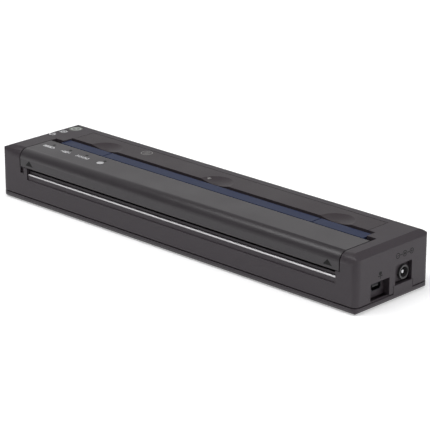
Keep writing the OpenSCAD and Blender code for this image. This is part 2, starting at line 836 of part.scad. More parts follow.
// The whole bar, drawn in by an inset
module bar(inset) {
  intersection() {
    along_x(-half_length, half_length) side_outline(inset);
    linear_extrude(height + over) plan_outline(inset);
    along_y(front_y, rear_y) end_outline(inset);
  }
}

// Upper case: end blocks, front and rear walls, and the frame around the top openings
module upper_shell() {
  difference() {
    bar(0);
    bar(wall);
    slab([-half_length - over, front_y - over, -over], [half_length + over, rear_y + over, parting_height]);
    in_line() {
      slab([-seam_x, front_y - over, cover_edge - seam], [seam_x, hinge_y + hinge_opening, height + over]);
      slab([exit_left, front_y - over, tear_bottom], [exit_right, front_y + wall + over, cover_edge]);
      slab([exit_left, front_y - over, step_bottom], [exit_right, front_y + step_depth, tear_bottom + over]);
      slab([-lip_half - seam, front_y + wall, roof - over], [lip_half + seam, panel_front, height + over]);
      slab([panel_left - seam, panel_front - over, roof - over], [panel_right + seam, panel_rear, height + over]);
    }
    slab([door_left, rear_y - wall - over, parting_height - over], [door_right, rear_y + over, door_top]);
  }
}

module upper_case_solid() {
  upper_shell();
  in_line() {
    // Shelf for the tear bar
    slab([tear_left, front_y + step_depth, tear_bottom - shelf_thickness], [tear_right, shelf_rear, tear_bottom]);
    along_x(tear_left, tear_right) polygon([
      [tear_rear + clearance, tear_bottom - shelf_thickness],
      [shelf_rear, tear_bottom - shelf_thickness],
      [shelf_rear, head_top - clearance],
      [tear_rear + clearance + shelf_lip, tear_top + shelf_lip_rise],
      [tear_rear + clearance, tear_top + shelf_lip_rise]
    ]);
    // Ledge for the rear panel
    slab([panel_left, panel_rear - ledge_width, roof - ledge_thickness], [panel_right, panel_rear, roof]);
    slab([panel_left, panel_rear, roof - ledge_thickness], [panel_right, panel_rear + ledge_width, roof + bite]);
    // Inner walls that carry the hinge pins
    both_ends() slab(
      [seam_x, front_y + wall - bite, skirt_height],
      [seam_x + skirt_wall, hinge_y + hinge_opening, roof + bite]
    );
  }
  // Screw bosses in the corners
  all_corners() post([case_screw_x, case_screw_y], parting_height + case_post_rise + clearance,
    parting_height + case_boss_height, case_boss_radius);
  // Bosses for the button board
  for (p = button_bosses_xy) post(p, button_board_top, roof + bite, button_boss_radius);
  // Walls around the data socket
  slab(
    [usb_recess_floor - recess_wall, usb_recess_y - recess_wall, parting_height],
    [half_length - bite, usb_recess_y + usb_recess_width + recess_wall, parting_height + usb_recess_height + recess_wall]
  );
  // Walls around the power socket
  slab(
    [dc_recess_floor - recess_wall, dc_recess_y - recess_wall, parting_height + dc_tab_height + clearance],
    [half_length - bite, dc_recess_y + dc_recess_width + recess_wall, dc_tab_top + dc_recess_height + recess_wall]
  );
}

module upper_case() {
  color([0.2, 0.2, 0.21]) difference() {
    upper_case_solid();
    // Hinge pin bores
    in_line() both_ends() rod(seam_x - over, seam_x + skirt_wall + clearance, [hinge_y, hinge_z],
      hinge_pin_radius + running);
    // Recess of the data socket and its mouth
    slab([usb_recess_floor, usb_recess_y, parting_height - over],
      [half_length + over, usb_recess_y + usb_recess_width, parting_height + usb_recess_height]);
    slab([usb_recess_floor - recess_wall - over, usb_y - usb_width * half - clearance, usb_bottom - clearance],
      [usb_recess_floor + over, usb_y + usb_width * half + clearance, usb_bottom + usb_height + clearance]);
    // Recess of the power socket, its hole and the opening for the tab
    slab([dc_recess_floor, dc_recess_y, dc_tab_top - over],
      [half_length + over, dc_recess_y + dc_recess_width, dc_tab_top + dc_recess_height]);
    rod(dc_recess_floor - recess_wall - over, dc_recess_floor + over, [dc_y, dc_z], dc_collar_radius + clearance);
    slab([half_length - wall - over, dc_recess_y - dc_tab_margin - seam, parting_height - over],
      [half_length + over, dc_recess_y + dc_recess_width + dc_tab_margin + seam, dc_tab_top + clearance]);
    // Button holes
    post(feed_xy, roof - over, height + over, feed_radius + button_gap);
    post(power_xy, roof - over, height + over, power_radius + button_gap);
    // Notch left of the exit slot
    in_line() slab([-seam_x + catch_inset, front_y - over, cover_edge - catch_height],
      [-seam_x + catch_inset + catch_width, front_y + catch_depth, cover_edge]);
    // Pilot holes
    all_corners() post([case_screw_x, case_screw_y], parting_height, parting_height + case_screw_length,
      case_screw_radius);
    for (p = button_bosses_xy) post(p, button_board_top - over, roof, board_screw_radius);
  }
}

// Lower case: a shallow tray with posts, ribs and the tab under the power socket
module lower_case() {
  color([0.15, 0.15, 0.16]) difference() {
    union() {
      difference() {
        bar(0);
        bar(wall);
        slab([-half_length - over, front_y - over, parting_height], [half_length + over, rear_y + over, height + over]);
        // Dark groove under the parting line
        difference() {
          slab([-half_length - over, front_y - over, parting_height - shadow_height],
            [half_length + over, rear_y + over, parting_height + over]);
          bar(shadow_depth);
        }
      }
      // Tab under the power socket
      slab([half_length - wall, dc_recess_y - dc_tab_margin, parting_height - shadow_height - bite],
        [half_length, dc_recess_y + dc_recess_width + dc_tab_margin, dc_tab_top]);
      // Corner posts for the case screws
      all_corners() post([case_screw_x, case_screw_y], ground_gap + bite, parting_height + case_post_rise,
        case_boss_radius);
      // Posts for the chassis
      for (y = [chassis_front_y, chassis_rear_y]) {
        in_line() both_ends() post([chassis_screw_x, y], floor_top - bite, base_bottom, chassis_post_radius);
      }
      // Posts for the main board
      for (p = board_screws_xy) post(p, floor_top - bite, board_bottom, board_post_radius);
      // Ribs under the battery
      for (x = [battery_left + door_margin, (battery_right + battery_left) * half, battery_right - door_margin]) {
        slab([x - rib_width * half, battery_front, floor_top - bite],
          [x + rib_width * half, rear_y - wall, battery_bottom]);
      }
    }
    // Pockets for the feet
    all_corners() post([foot_x, foot_y], -over, ground_gap + foot_pocket, foot_radius);
    // Case screw holes
    all_corners() {
      post([case_screw_x, case_screw_y], -over, ground_gap + case_head_depth + case_head, case_head_radius + clearance);
      post([case_screw_x, case_screw_y], 0, parting_height + case_post_rise + over, case_screw_radius + clearance);
    }
    // Pilot holes in the posts
    for (y = [chassis_front_y, chassis_rear_y]) {
      in_line() both_ends() post([chassis_screw_x, y], base_bottom - chassis_screw_grip, base_bottom + over,
        chassis_screw_radius);
    }
    for (p = board_screws_xy) post(p, board_bottom - board_screw_grip, board_bottom + over, board_screw_radius);
  }
}

// Release cover: front lip and top plate in one, with a rolled hinge edge
module release_cover() {
  color([0.36, 0.35, 0.35]) difference() {
    union() {
      along_x(-cover_half, cover_half) difference() {
        side_outline(0);
        side_outline(wall);
        translate([front_y - over, -over]) square([depth + 2 * over, cover_edge + over]);
        translate([hinge_y, -over]) square([depth, height + 2 * over]);
      }
      rod(-cover_half, cover_half, [hinge_y, hinge_z], barrel_radius);
    }
    // Bores that grip the hinge pins
    both_ends() rod(cover_half - hinge_pin_grip, cover_half + over, [hinge_y, hinge_z], hinge_pin_radius);
    // Holes for the indicator lenses
    for (x = light_insets) post([x - seam_x, front_y + light_depth], roof - over, height + over, light_radius);
  }
}

module cover_hinge_pins() {
  color([0.7, 0.7, 0.72]) both_ends() rod(cover_half - hinge_pin_grip, seam_x + skirt_wall,
    [hinge_y, hinge_z], hinge_pin_radius);
}

module indicator_lenses() {
  color([0.12, 0.14, 0.12]) for (x = light_insets) {
    post([x - seam_x, front_y + light_depth], roof - lens_length, height - button_recess * half, light_radius);
  }
}

// Feed guide: the coloured lip in front of the slot, with the guide wall under it
module feed_guide() {
  r = lip_thickness * half;
  color([0.16, 0.2, 0.33]) difference() {
    union() {
      along_x(-lip_half, lip_half) {
        translate([lip_front, lip_under]) square([lip_width - r, lip_thickness]);
        translate([lip_rear - r, lip_under + r]) circle(r);
      }
      along_x(-guide_half, guide_half) polygon([
        [lip_rear, lip_under + r],
        [lip_rear - front_guide_run, lip_under + r - front_guide_drop],
        [lip_rear - front_guide_run - guide_end_slant, lip_under + r - front_guide_drop + guide_end_slant],
        [lip_rear - guide_thickness, lip_under + r]
      ]);
    }
    both_ends() slab([lip_half - groove_inset - groove_width, lip_front - over, lip_top - groove_depth],
      [lip_half - groove_inset, lip_rear + over, lip_top + over]);
  }
}

// Rear paper guide: the panel behind the slot, with the guide wall down to the print head
module rear_paper_guide() {
  ball = (scoop_radius * scoop_radius + scoop_depth * scoop_depth) / (2 * scoop_depth);
  color([0.32, 0.3, 0.3]) difference() {
    union() {
      along_x(panel_left, panel_right) polygon([
        [panel_front, height],
        [panel_front, roof],
        [panel_rear - seam, roof],
        [panel_rear - seam, height]
      ]);
      along_x(-guide_half, panel_right) polygon([
        [panel_front, roof + bite],
        guide_high,
        guide_low,
        [guide_low[0] + guide_thickness, guide_low[1]],
        [panel_front + guide_thickness, height - panel_edge],
        [panel_front + guide_thickness, roof + bite]
      ]);
    }
    for (x = [scoop_inset - guide_half, 0, guide_half - scoop_inset]) {
      translate([x, panel_front, height + ball - scoop_depth]) sphere(ball);
    }
    // Window that the paper sensor looks through
    translate([sensor_place, guide_low[0], guide_low[1]]) rotate([guide_angle, 0, 0])
      slab([-window_side * half, sensor_rise, -guide_thickness - over],
        [window_side * half, sensor_rise + window_side, over]);
  }
}

module tear_bar() {
  color([0.84, 0.83, 0.83]) along_x(tear_left, tear_right) polygon([
    [tear_front, tear_bottom],
    [tear_rear, tear_bottom],
    [tear_rear, tear_top - tear_chamfer],
    [tear_rear - tear_chamfer, tear_top],
    [tear_front + tear_chamfer, tear_top],
    [tear_front, tear_top - tear_chamfer]
  ]);
}

module platen_roller() {
  color([0.09, 0.09, 0.09]) difference() {
    rod(-roller_half, roller_half, platen_centre, roller_radius);
    rod(-roller_half - over, roller_half + over, platen_centre, shaft_radius);
  }
}

module platen_shaft() {
  color([0.75, 0.75, 0.77]) rod(stud_end, plate_outer + shaft_tail, platen_centre, shaft_radius);
}

module platen_bushes() {
  color([0.85, 0.83, 0.76]) both_ends() difference() {
    union() {
      rod(plate_inner, plate_outer, platen_centre, bush_radius);
      rod(plate_inner - bush_flange, plate_inner, platen_centre, bush_flange_radius);
    }
    rod(plate_inner - bush_flange - over, plate_outer + over, platen_centre, shaft_radius + running);
  }
}

// Involute tooth flank: half the tooth's angle at a radius
function involute(angle) = tan(angle) * 2 * quarter / PI - angle;
function flank(teeth, pitch, radius) =
  quarter / teeth - flank_play * half * quarter / PI / pitch
  + involute(pressure_angle) - involute(acos(min(1, pitch * cos(pressure_angle) / radius)));

// Gear outline with three points on each flank
module gear_outline(teeth, pitch) {
  root = pitch - gear_module * dedendum_share;
  tip = pitch + gear_module * addendum_share;
  radii = [root, pitch, tip];
  last = 2 * len(radii) - 1;
  polygon([
    for (i = [0 : teeth - 1])
      for (s = [0 : last])
        let (rising = s < len(radii))
        let (r = radii[rising ? s : last - s])
        let (a = i * turn / teeth + (rising ? -1 : 1) * flank(teeth, pitch, r))
        r * [cos(a), sin(a)]
  ]);
}

// A gear about an axis along X, turned to its place in the mesh
module gear(teeth, pitch, centre, turned, bore, hub) {
  difference() {
    union() {
      translate([0, centre[0], centre[1]]) rotate([turned, 0, 0]) along_x(gear_left, gear_right) {
        gear_outline(teeth, pitch);
      }
      rod(gear_left, gear_right + hub, centre, idler_hub_radius);
    }
    rod(gear_left - over, gear_right + gear_gap + over, centre, bore);
  }
}

module platen_gear() {
  color([0.88, 0.87, 0.82]) gear(platen_teeth, platen_pitch, platen_centre, 0, shaft_radius, gear_gap - clearance);
}

module front_idler_gear() {
  color([0.88, 0.87, 0.82]) gear(front_idler_teeth, front_idler_pitch, front_idler_centre, front_idler_turn,
    stud_radius + running, gear_gap - clearance);
}

module rear_idler_gear() {
  color([0.88, 0.87, 0.82]) gear(platen_teeth, platen_pitch, rear_idler_centre, rear_idler_turn,
    stud_radius + running, gear_gap - clearance);
}

module gear_studs() {
  color([0.72, 0.72, 0.74]) for (c = [front_idler_centre, rear_idler_centre]) {
    rod(stud_end - stud_head, -plate_inner, c, stud_radius);
    rod(stud_end - stud_head, stud_end, c, stud_head_radius);
  }
}

// Pinion and motor shaft in one
module motor_pinion() {
  color([0.8, 0.68, 0.38]) {
    translate([0, pinion_centre[0], pinion_centre[1]]) rotate([pinion_turn, 0, 0]) along_x(gear_left, gear_right) {
      gear_outline(pinion_teeth, pinion_pitch);
    }
    rod(stud_end, -plate_inner + motor_cap, pinion_centre, motor_shaft_radius);
  }
}

module motor() {
  color([0.66, 0.66, 0.68]) difference() {
    union() {
      rod(-plate_inner, -plate_inner + motor_length, pinion_centre, motor_radius);
      rod(-plate_outer, -plate_inner, pinion_centre, motor_boss_radius);
      rod(-plate_inner + motor_length, -plate_inner + motor_length + motor_cap, pinion_centre, motor_cap_radius);
      // Terminals on the rear cap
      for (i = [-1, 1]) {
        translate([-plate_inner + motor_length + motor_cap, pinion_centre[0], pinion_centre[1] + i * motor_terminal_spacing * half])
          slab([0, -motor_terminal_width * half, -motor_terminal_thickness * half],
            [motor_terminal, motor_terminal_width * half, motor_terminal_thickness * half]);
      }
    }
    rod(-plate_outer - over, -plate_inner + motor_cap, pinion_centre, motor_shaft_radius + running);
  }
}

// Outline of the side plates; the left one reaches back to the motor
module side_plate_outline(rear, top) {
  polygon([
    [base_front, base_bottom],
    [base_front, roller_z + plate_rise - plate_shoulder],
    [roller_y - plate_shoulder, roller_z + plate_rise],
    [roller_y + plate_shoulder, roller_z + plate_rise],
    [roller_y + plate_rise, roller_z + plate_dip],
    [lip_front + seam, roller_z + plate_dip],
    [lip_front + seam, lip_under],
    [lip_rear - rest_margin, lip_under],
    [panel_front, top],
    [rear, top],
    [rear, base_bottom]
  ]);
}

// Chassis: base plate, two side plates and four screw tabs
module chassis() {
  color([0.62, 0.63, 0.65]) difference() {
    union() {
      slab([-plate_outer, base_front, base_bottom], [plate_outer, base_rear, base_top]);
      along_x(-plate_outer, -plate_inner) side_plate_outline(rear_y - wall - left_plate_gap, roof - left_plate_gap);
      along_x(plate_inner, plate_outer) side_plate_outline(lip_front + right_plate_reach, roller_z);
      both_ends() {
        slab([chassis_screw_x - tab_radius, chassis_front_y - tab_radius, base_bottom],
          [chassis_screw_x + tab_radius, base_front + bite, base_top]);
        slab([chassis_screw_x - tab_radius, base_rear - bite, base_bottom],
          [chassis_screw_x + tab_radius, chassis_rear_y + tab_radius, base_top]);
      }
    }
    both_ends() rod(plate_inner - over, plate_outer + over, platen_centre, bush_radius);
    for (c = [front_idler_centre, rear_idler_centre]) {
      rod(-plate_outer - over, -plate_inner + over, c, stud_radius);
    }
    rod(-plate_outer - over, -plate_inner + over, pinion_centre, motor_boss_radius);
    for (y = [chassis_front_y, chassis_rear_y]) {
      both_ends() post([chassis_screw_x, y], base_bottom - over, base_top + over, chassis_screw_radius + clearance);
    }
  }
}

module print_head() {
  color([0.87, 0.84, 0.76]) slab([-head_half, head_front, sink_top], [head_half, head_front + ceramic_width, head_top]);
}

module head_heat_sink() {
  color([0.74, 0.75, 0.77]) difference() {
    slab([-head_half, head_front, sink_bottom], [head_half, head_front + sink_width, sink_top]);
    for (share = sink_groove_shares) {
      slab([-head_half - over, head_front + share * sink_width - sink_groove * half, sink_bottom - over],
        [head_half + over, head_front + share * sink_width + sink_groove * half, sink_bottom + sink_groove_depth]);
    }
  }
}

// Leaf springs that press the head against the roller
module head_springs() {
  top = sink_bottom;
  color([0.68, 0.68, 0.66]) for (x = [-spring_spacing, 0, spring_spacing]) {
    translate([x, 0, 0]) along_y(roller_y - spring_width * half, roller_y + spring_width * half) {
      for (i = [0, 1]) {
        mirror([i, 0]) polygon([
          [0, top],
          [spring_flat * half, top],
          [spring_flat * half + spring_slope, base_top + spring_leaf],
          [spring_flat * half + spring_slope + spring_flat, base_top + spring_leaf],
          [spring_flat * half + spring_slope + spring_flat, base_top],
          [spring_flat * half + spring_slope, base_top],
          [spring_flat * half, top - spring_leaf],
          [0, top - spring_leaf]
        ]);
      }
    }
  }
}

// Quarter of a flat ring, for the bends of the cable
module bend(inner, thickness, mirror_y) {
  mirror([0, mirror_y]) intersection() {
    difference() {
      circle(inner + thickness);
      circle(inner);
    }
    square(inner + thickness);
  }
}

// Flat cable from the head's heat sink down to the main board
module head_cable() {
  rear = base_rear + cable_reach;
  top = sink_top - cable_drop;
  low = board_top + connector_height * half - cable_thickness * half;
  start = head_front + sink_width;
  bent = cable_bend + cable_thickness;
  color([0.8, 0.52, 0.2]) along_x(cable_place - cable_width * half, cable_place + cable_width * half) {
    translate([start, top - cable_thickness]) square([rear - bent - start, cable_thickness]);
    translate([rear - bent, top - bent]) bend(cable_bend, cable_thickness, 0);
    translate([rear - cable_thickness, low + bent]) square([cable_thickness, top - low - 2 * bent]);
    translate([rear - bent, low + bent]) bend(cable_bend, cable_thickness, 1);
    translate([base_rear - connector_inset, low]) square([rear - bent - base_rear + connector_inset, cable_thickness]);
  }
}

module main_board() {
  color([0.1, 0.3, 0.17]) difference() {
    union() {
      slab([-board_left, board_front, board_bottom], [board_step + bite, board_front + board_width, board_top]);
      slab([board_step, board_front, board_bottom], [board_right, board_front + board_end_width, board_top]);
    }
    for (p = board_screws_xy) post(p, board_bottom - over, board_top + over, board_screw_radius + clearance);
  }
}

// Processor, memory, capacitors and the cable's connector
module board_parts() {
  middle = board_front + board_width * half;
  color([0.13, 0.13, 0.14]) {
    slab([chip_place - chip_length * half, middle - chip_length * half, board_bottom - chip_height],
      [chip_place + chip_length * half, middle + chip_length * half, board_bottom]);
    slab([-memory_place - memory_length, middle - memory_width * half, board_bottom - chip_height],
      [-memory_place, middle + memory_width * half, board_bottom]);
    for (i = [-1, 0, 1]) {
      post([capacitor_place + i * capacitor_spacing, middle], board_bottom - capacitor_height, board_bottom, capacitor_radius);
    }
    slab([cable_place - cable_width * half - connector_margin, base_rear - connector_inset - connector_width, board_top],
      [cable_place + cable_width * half + connector_margin, base_rear - connector_inset, board_top + connector_height]);
  }
}

module screw_down(at, seat, radius, head_radius, head_height, reach) {
  post(at, seat, seat + head_height, head_radius);
  post(at, seat - reach, seat + head_height * half, radius);
}

module board_screws() {
  color([0.75, 0.75, 0.77]) {
    for (p = board_screws_xy) {
      screw_down(p, board_top, board_screw_radius, board_head_radius, board_head, board_thickness + board_screw_grip);
    }
    for (p = button_bosses_xy) {
      post(p, button_board_top - board_thickness - board_head, button_board_top - board_thickness, board_head_radius);
      post(p, button_board_top - board_thickness - board_head * half, roof, board_screw_radius);
    }
  }
}

// Data socket: a metal shell with tapered lower corners
module usb_outline(inset) {
  w = usb_width * half - inset;
  polygon([
    [usb_y - w + usb_taper, usb_bottom + inset],
    [usb_y + w - usb_taper, usb_bottom + inset],
    [usb_y + w, usb_bottom + inset + usb_taper],
    [usb_y + w, usb_bottom + usb_height - inset],
    [usb_y - w, usb_bottom + usb_height - inset],
    [usb_y - w, usb_bottom + inset + usb_taper]
  ]);
}

module usb_socket() {
  right = usb_recess_floor + usb_reach;
  color([0.72, 0.72, 0.74]) difference() {
    union() {
      along_x(right - usb_length, right) usb_outline(0);
      // Feet that stand on the board
      for (i = [-1, 1]) {
        slab([right - usb_length, usb_y + i * usb_width * half * half - usb_metal, board_top],
          [right - usb_length + usb_width * half, usb_y + i * usb_width * half * half + usb_metal, usb_bottom + usb_metal]);
      }
    }
    along_x(right - usb_length + usb_metal, right + over) usb_outline(usb_metal);
  }
}

module usb_tongue() {
  right = usb_recess_floor + usb_reach;
  color([0.08, 0.08, 0.08]) slab(
    [right - usb_length + usb_metal, usb_y - tongue_width * half, usb_z],
    [right - usb_metal, usb_y + tongue_width * half, usb_z + tongue_thickness]
  );
}

// Power socket: a moulded body with a round collar in the recess
module dc_jack() {
  inner = dc_recess_floor - recess_wall - clearance;
  color([0.07, 0.07, 0.07]) difference() {
    union() {
      slab([inner - dc_length, dc_y - dc_width * half, board_top], [inner, dc_y + dc_width * half, dc_z + dc_width * half]);
      rod(inner - bite, dc_recess_floor + dc_collar, [dc_y, dc_z], dc_collar_radius);
    }
    rod(dc_recess_floor + dc_collar - dc_hole_depth, dc_recess_floor + dc_collar + over, [dc_y, dc_z], dc_hole_radius);
  }
}

// Centre pin and the two contact springs beside it
module dc_jack_pin() {
  low = dc_recess_floor + dc_collar - dc_hole_depth;
  color([0.8, 0.8, 0.82]) {
    rod(low, dc_recess_floor + dc_collar - dc_pin_inset, [dc_y, dc_z], dc_pin_radius);
    for (i = [-1, 1]) {
      rod(low, dc_recess_floor, [dc_y - dc_spring_offset * cos(dc_spring_turn),
        dc_z + i * dc_spring_offset * sin(dc_spring_turn)], dc_spring_radius);
    }
  }
}

module battery_pack() {
  r = battery_radius;
  color([0.11, 0.11, 0.12]) along_x(battery_left, battery_right) {
    translate([battery_front + r, battery_bottom]) square([battery_width - 2 * r, battery_height]);
    translate([battery_front, battery_bottom + r]) square([battery_width, battery_height - 2 * r]);
    for (y = [battery_front + r, battery_rear - r]) {
      for (z = [battery_bottom + r, battery_top - r]) {
        translate([y, z]) circle(r);
      }
    }
  }
}

// Contact block with three blades against the battery's left end
module battery_contacts() {
  middle = battery_rear - contact_inset - contact_width * half;
  right = battery_left - blade_thickness;
  color([0.78, 0.66, 0.35]) {
    slab([right - contact_length, middle - contact_width * half, floor_top],
      [right, middle + contact_width * half, floor_top + contact_height]);
    for (i = [-1, 0, 1]) {
      slab([right, middle + i * blade_spacing - blade_width * half, floor_top + contact_height - blade_height],
        [right + blade_thickness, middle + i * blade_spacing + blade_width * half, floor_top + contact_height]);
    }
  }
}

// Battery door in the rear wall, pulled straight off
module battery_door() {
  top = door_top - seam;
  color([0.2, 0.2, 0.21]) difference() {
    union() {
      slab([door_left + seam, rear_y - wall, parting_height + seam], [door_right - seam, rear_y, top]);
      for (x = [door_left + door_tongue, (door_left + door_right - door_tongue) * half, door_right - 2 * door_tongue]) {
        slab([x, rear_y - wall - door_tongue_length, top - door_tongue_thickness],
          [x + door_tongue, rear_y - wall + bite, top]);
      }
    }
    translate([(door_left + door_right) * half, rear_y + over, top - door_hollow_radius - bite]) rotate([quarter, 0, 0])
      cylinder(h = door_hollow_depth + over, r = door_hollow_radius);
  }
}

// A push button: cap, stem, and a flange cut flat beside the end wall
module button(at, radius) {
  low = roof - clearance - button_flange_thickness;
  reach = radius + button_flange;
  post(at, roof - clearance, height - button_recess, radius);
  intersection() {
    post(at, low, roof - clearance, reach);
    slab([button_wall_x, at[1] - reach, low], [at[0] + reach, at[1] + reach, roof]);
  }
  post(at, low - button_stem, roof - clearance, button_stem_radius);
}

module power_button() {
  color([0.3, 0.3, 0.31]) button(power_xy, power_radius);
}

module feed_button() {
  color([0.24, 0.25, 0.25]) button(feed_xy, feed_radius);
}

module button_board() {
  color([0.1, 0.3, 0.17]) difference() {
    slab([button_board_x, button_board_y, button_board_top - board_thickness],
      [button_board_x + button_board_width, button_board_y + button_board_length, button_board_top]);
    for (p = button_bosses_xy) {
      post(p, button_board_top - board_thickness - over, button_board_top + over, board_screw_radius + clearance);
    }
  }
}

module push_switches() {
  color([0.2, 0.2, 0.2]) for (p = [feed_xy, power_xy]) {
    slab([p[0] - switch_side * half, p[1] - switch_side * half, button_board_top],
      [p[0] + switch_side * half, p[1] + switch_side * half, button_board_top + switch_height]);
    post(p, button_board_top + switch_height, button_board_top + switch_height + plunger_height, plunger_radius);
  }
}

// Paper sensor on the back of the rear guide wall
module paper_sensor() {
  back = guide_thickness * sin(guide_angle);
  color([0.1, 0.1, 0.1]) translate([sensor_place, guide_low[0], guide_low[1]]) rotate([guide_angle, 0, 0])
    slab([-sensor_length * half, sensor_rise, -back - sensor_thickness],
      [sensor_length * half, sensor_rise + sensor_width, -back]);
}

module rubber_feet() {
  color([0.05, 0.05, 0.05]) all_corners() post([foot_x, foot_y], 0, ground_gap + foot_pocket, foot_radius);
}

module case_screws() {
  seat = ground_gap + case_head_depth + case_head;
  color([0.6, 0.6, 0.62]) all_corners() {
    post([case_screw_x, case_screw_y], seat - case_head, seat, case_head_radius);
    post([case_screw_x, case_screw_y], seat - case_head * half, parting_height + case_screw_length, case_screw_radius);
  }
}

module chassis_screws() {
  color([0.6, 0.6, 0.62]) for (y = [chassis_front_y, chassis_rear_y]) {
    both_ends() screw_down([chassis_screw_x, y], base_top, chassis_screw_radius, chassis_head_radius, chassis_head,
      sheet + chassis_screw_grip);
  }
}

upper_case();
lower_case();
in_line() release_cover();
in_line() cover_hinge_pins();
in_line() indicator_lenses();
in_line() feed_guide();
in_line() rear_paper_guide();
in_line() tear_bar();
in_line() platen_roller();
in_line() platen_shaft();
in_line() platen_gear();
in_line() platen_bushes();
in_line() front_idler_gear();
in_line() rear_idler_gear();
in_line() gear_studs();
in_line() motor();
in_line() motor_pinion();
in_line() chassis();
in_line() print_head();
in_line() head_heat_sink();
in_line() head_springs();
head_cable();
main_board();
board_parts();
board_screws();
usb_socket();
usb_tongue();
dc_jack();
dc_jack_pin();
battery_pack();
battery_contacts();
battery_door();
power_button();
feed_button();
button_board();
push_switches();
in_line() paper_sensor();
rubber_feet();
case_screws();
in_line() chassis_screws();
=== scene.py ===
import math

import bpy
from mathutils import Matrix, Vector


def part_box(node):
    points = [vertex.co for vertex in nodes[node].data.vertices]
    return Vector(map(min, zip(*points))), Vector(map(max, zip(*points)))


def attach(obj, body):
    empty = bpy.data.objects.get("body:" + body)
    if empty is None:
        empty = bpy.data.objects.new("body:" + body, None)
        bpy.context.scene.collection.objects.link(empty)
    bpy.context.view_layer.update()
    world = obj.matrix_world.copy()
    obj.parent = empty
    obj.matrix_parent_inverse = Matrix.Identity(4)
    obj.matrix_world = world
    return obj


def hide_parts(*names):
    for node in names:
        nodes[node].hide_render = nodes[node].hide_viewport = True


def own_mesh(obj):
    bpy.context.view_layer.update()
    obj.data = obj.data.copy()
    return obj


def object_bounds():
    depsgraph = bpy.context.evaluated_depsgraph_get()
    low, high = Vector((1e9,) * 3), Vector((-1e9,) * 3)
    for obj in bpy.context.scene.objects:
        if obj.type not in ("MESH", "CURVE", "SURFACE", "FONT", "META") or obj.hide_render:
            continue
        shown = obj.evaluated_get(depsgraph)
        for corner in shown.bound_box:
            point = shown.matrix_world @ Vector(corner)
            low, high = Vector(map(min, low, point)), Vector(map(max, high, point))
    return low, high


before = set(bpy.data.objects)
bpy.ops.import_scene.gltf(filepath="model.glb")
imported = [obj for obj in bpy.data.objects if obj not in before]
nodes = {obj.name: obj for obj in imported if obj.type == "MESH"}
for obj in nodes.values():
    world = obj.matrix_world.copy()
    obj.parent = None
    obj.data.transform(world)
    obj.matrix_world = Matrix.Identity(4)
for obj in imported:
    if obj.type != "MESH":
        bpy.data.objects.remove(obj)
cad_low, cad_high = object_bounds()

# Studio: a pale floor and a white surround, with three soft lamps above the printer.
# The camera stands to the front right of the printer and a little above it.
eye = Vector((0.746899, -0.763315, 0.392743))
aim = Vector((0.008258, 0.0, 0.015034))
camera_data = bpy.data.cameras.new("camera")
camera_data.sensor_width = 36
camera_data.lens = 182.659
camera_data.clip_end = 20
camera = bpy.data.objects.new("camera", camera_data)
camera.location = eye
camera.rotation_mode = "QUATERNION"
camera.rotation_quaternion = (aim - eye).to_track_quat("-Z", "Y")
bpy.context.scene.collection.objects.link(camera)
bpy.context.scene.camera = camera
bpy.context.scene.view_settings.view_transform = "Standard"

# Each lamp's name, place, width, depth and watts.
for lamp_name, place, width, depth, power in (
    ("lamp_key", (-0.28, -0.56, 1.15), 1.0, 0.4, 8),
    ("lamp_fill", (1.6, 0.5, 0.75), 1.2, 1.0, 9),
    ("lamp_top", (0.3, -0.2, 2.0), 1.4, 1.4, 10),
):
    lamp_data = bpy.data.lights.new(lamp_name, "AREA")
    lamp_data.shape = "RECTANGLE"
    lamp_data.size = width
    lamp_data.size_y = depth
    lamp_data.energy = power
    lamp = bpy.data.objects.new(lamp_name, lamp_data)
    lamp.location = place
    lamp.rotation_mode = "QUATERNION"
    lamp.rotation_quaternion = (aim - Vector(place)).to_track_quat("-Z", "Y")
    bpy.context.scene.collection.objects.link(lamp)


def maths(tree, operation, a, b):
    """One Math node; a and b are sockets or numbers."""
    node = tree.nodes.new("ShaderNodeMath")
    node.operation = operation
    for socket, value in zip(node.inputs, (a, b)):
        if isinstance(value, (int, float)):
            socket.default_value = value
        else:
            tree.links.new(value, socket)
    return node.outputs[0]


def spread(tree, value, low, high, to_low, to_high):
    """Maps a value from one span to another, clamped."""
    ramp = tree.nodes.new("ShaderNodeMapRange")
    ramp.inputs["From Min"].default_value = low
    ramp.inputs["From Max"].default_value = high
    ramp.inputs["To Min"].default_value = to_low
    ramp.inputs["To Max"].default_value = to_high
    tree.links.new(value, ramp.inputs["Value"])
    return ramp.outputs["Result"]


def seen_directly(tree):
    """A mask that is 1 where a ray comes from the camera, a reflection or a clear part."""
    path = tree.nodes.new("ShaderNodeLightPath")
    either = maths(tree, "MAXIMUM", path.outputs["Is Camera Ray"], path.outputs["Is Glossy Ray"])
    return maths(tree, "MAXIMUM", either, path.outputs["Is Transmission Ray"])


surround_light = (0.42, 0.42, 0.43, 1)
world = bpy.data.worlds.new("surround")
world.use_nodes = True
bpy.context.scene.world = world
sky = world.node_tree
sky_mix = sky.nodes.new("ShaderNodeMix")
sky_mix.data_type = "RGBA"
sky_mix.inputs["A"].default_value = surround_light
sky.links.new(seen_directly(sky), sky_mix.inputs["Factor"])
sky.links.new(sky_mix.outputs["Result"], sky.nodes["Background"].inputs["Color"])
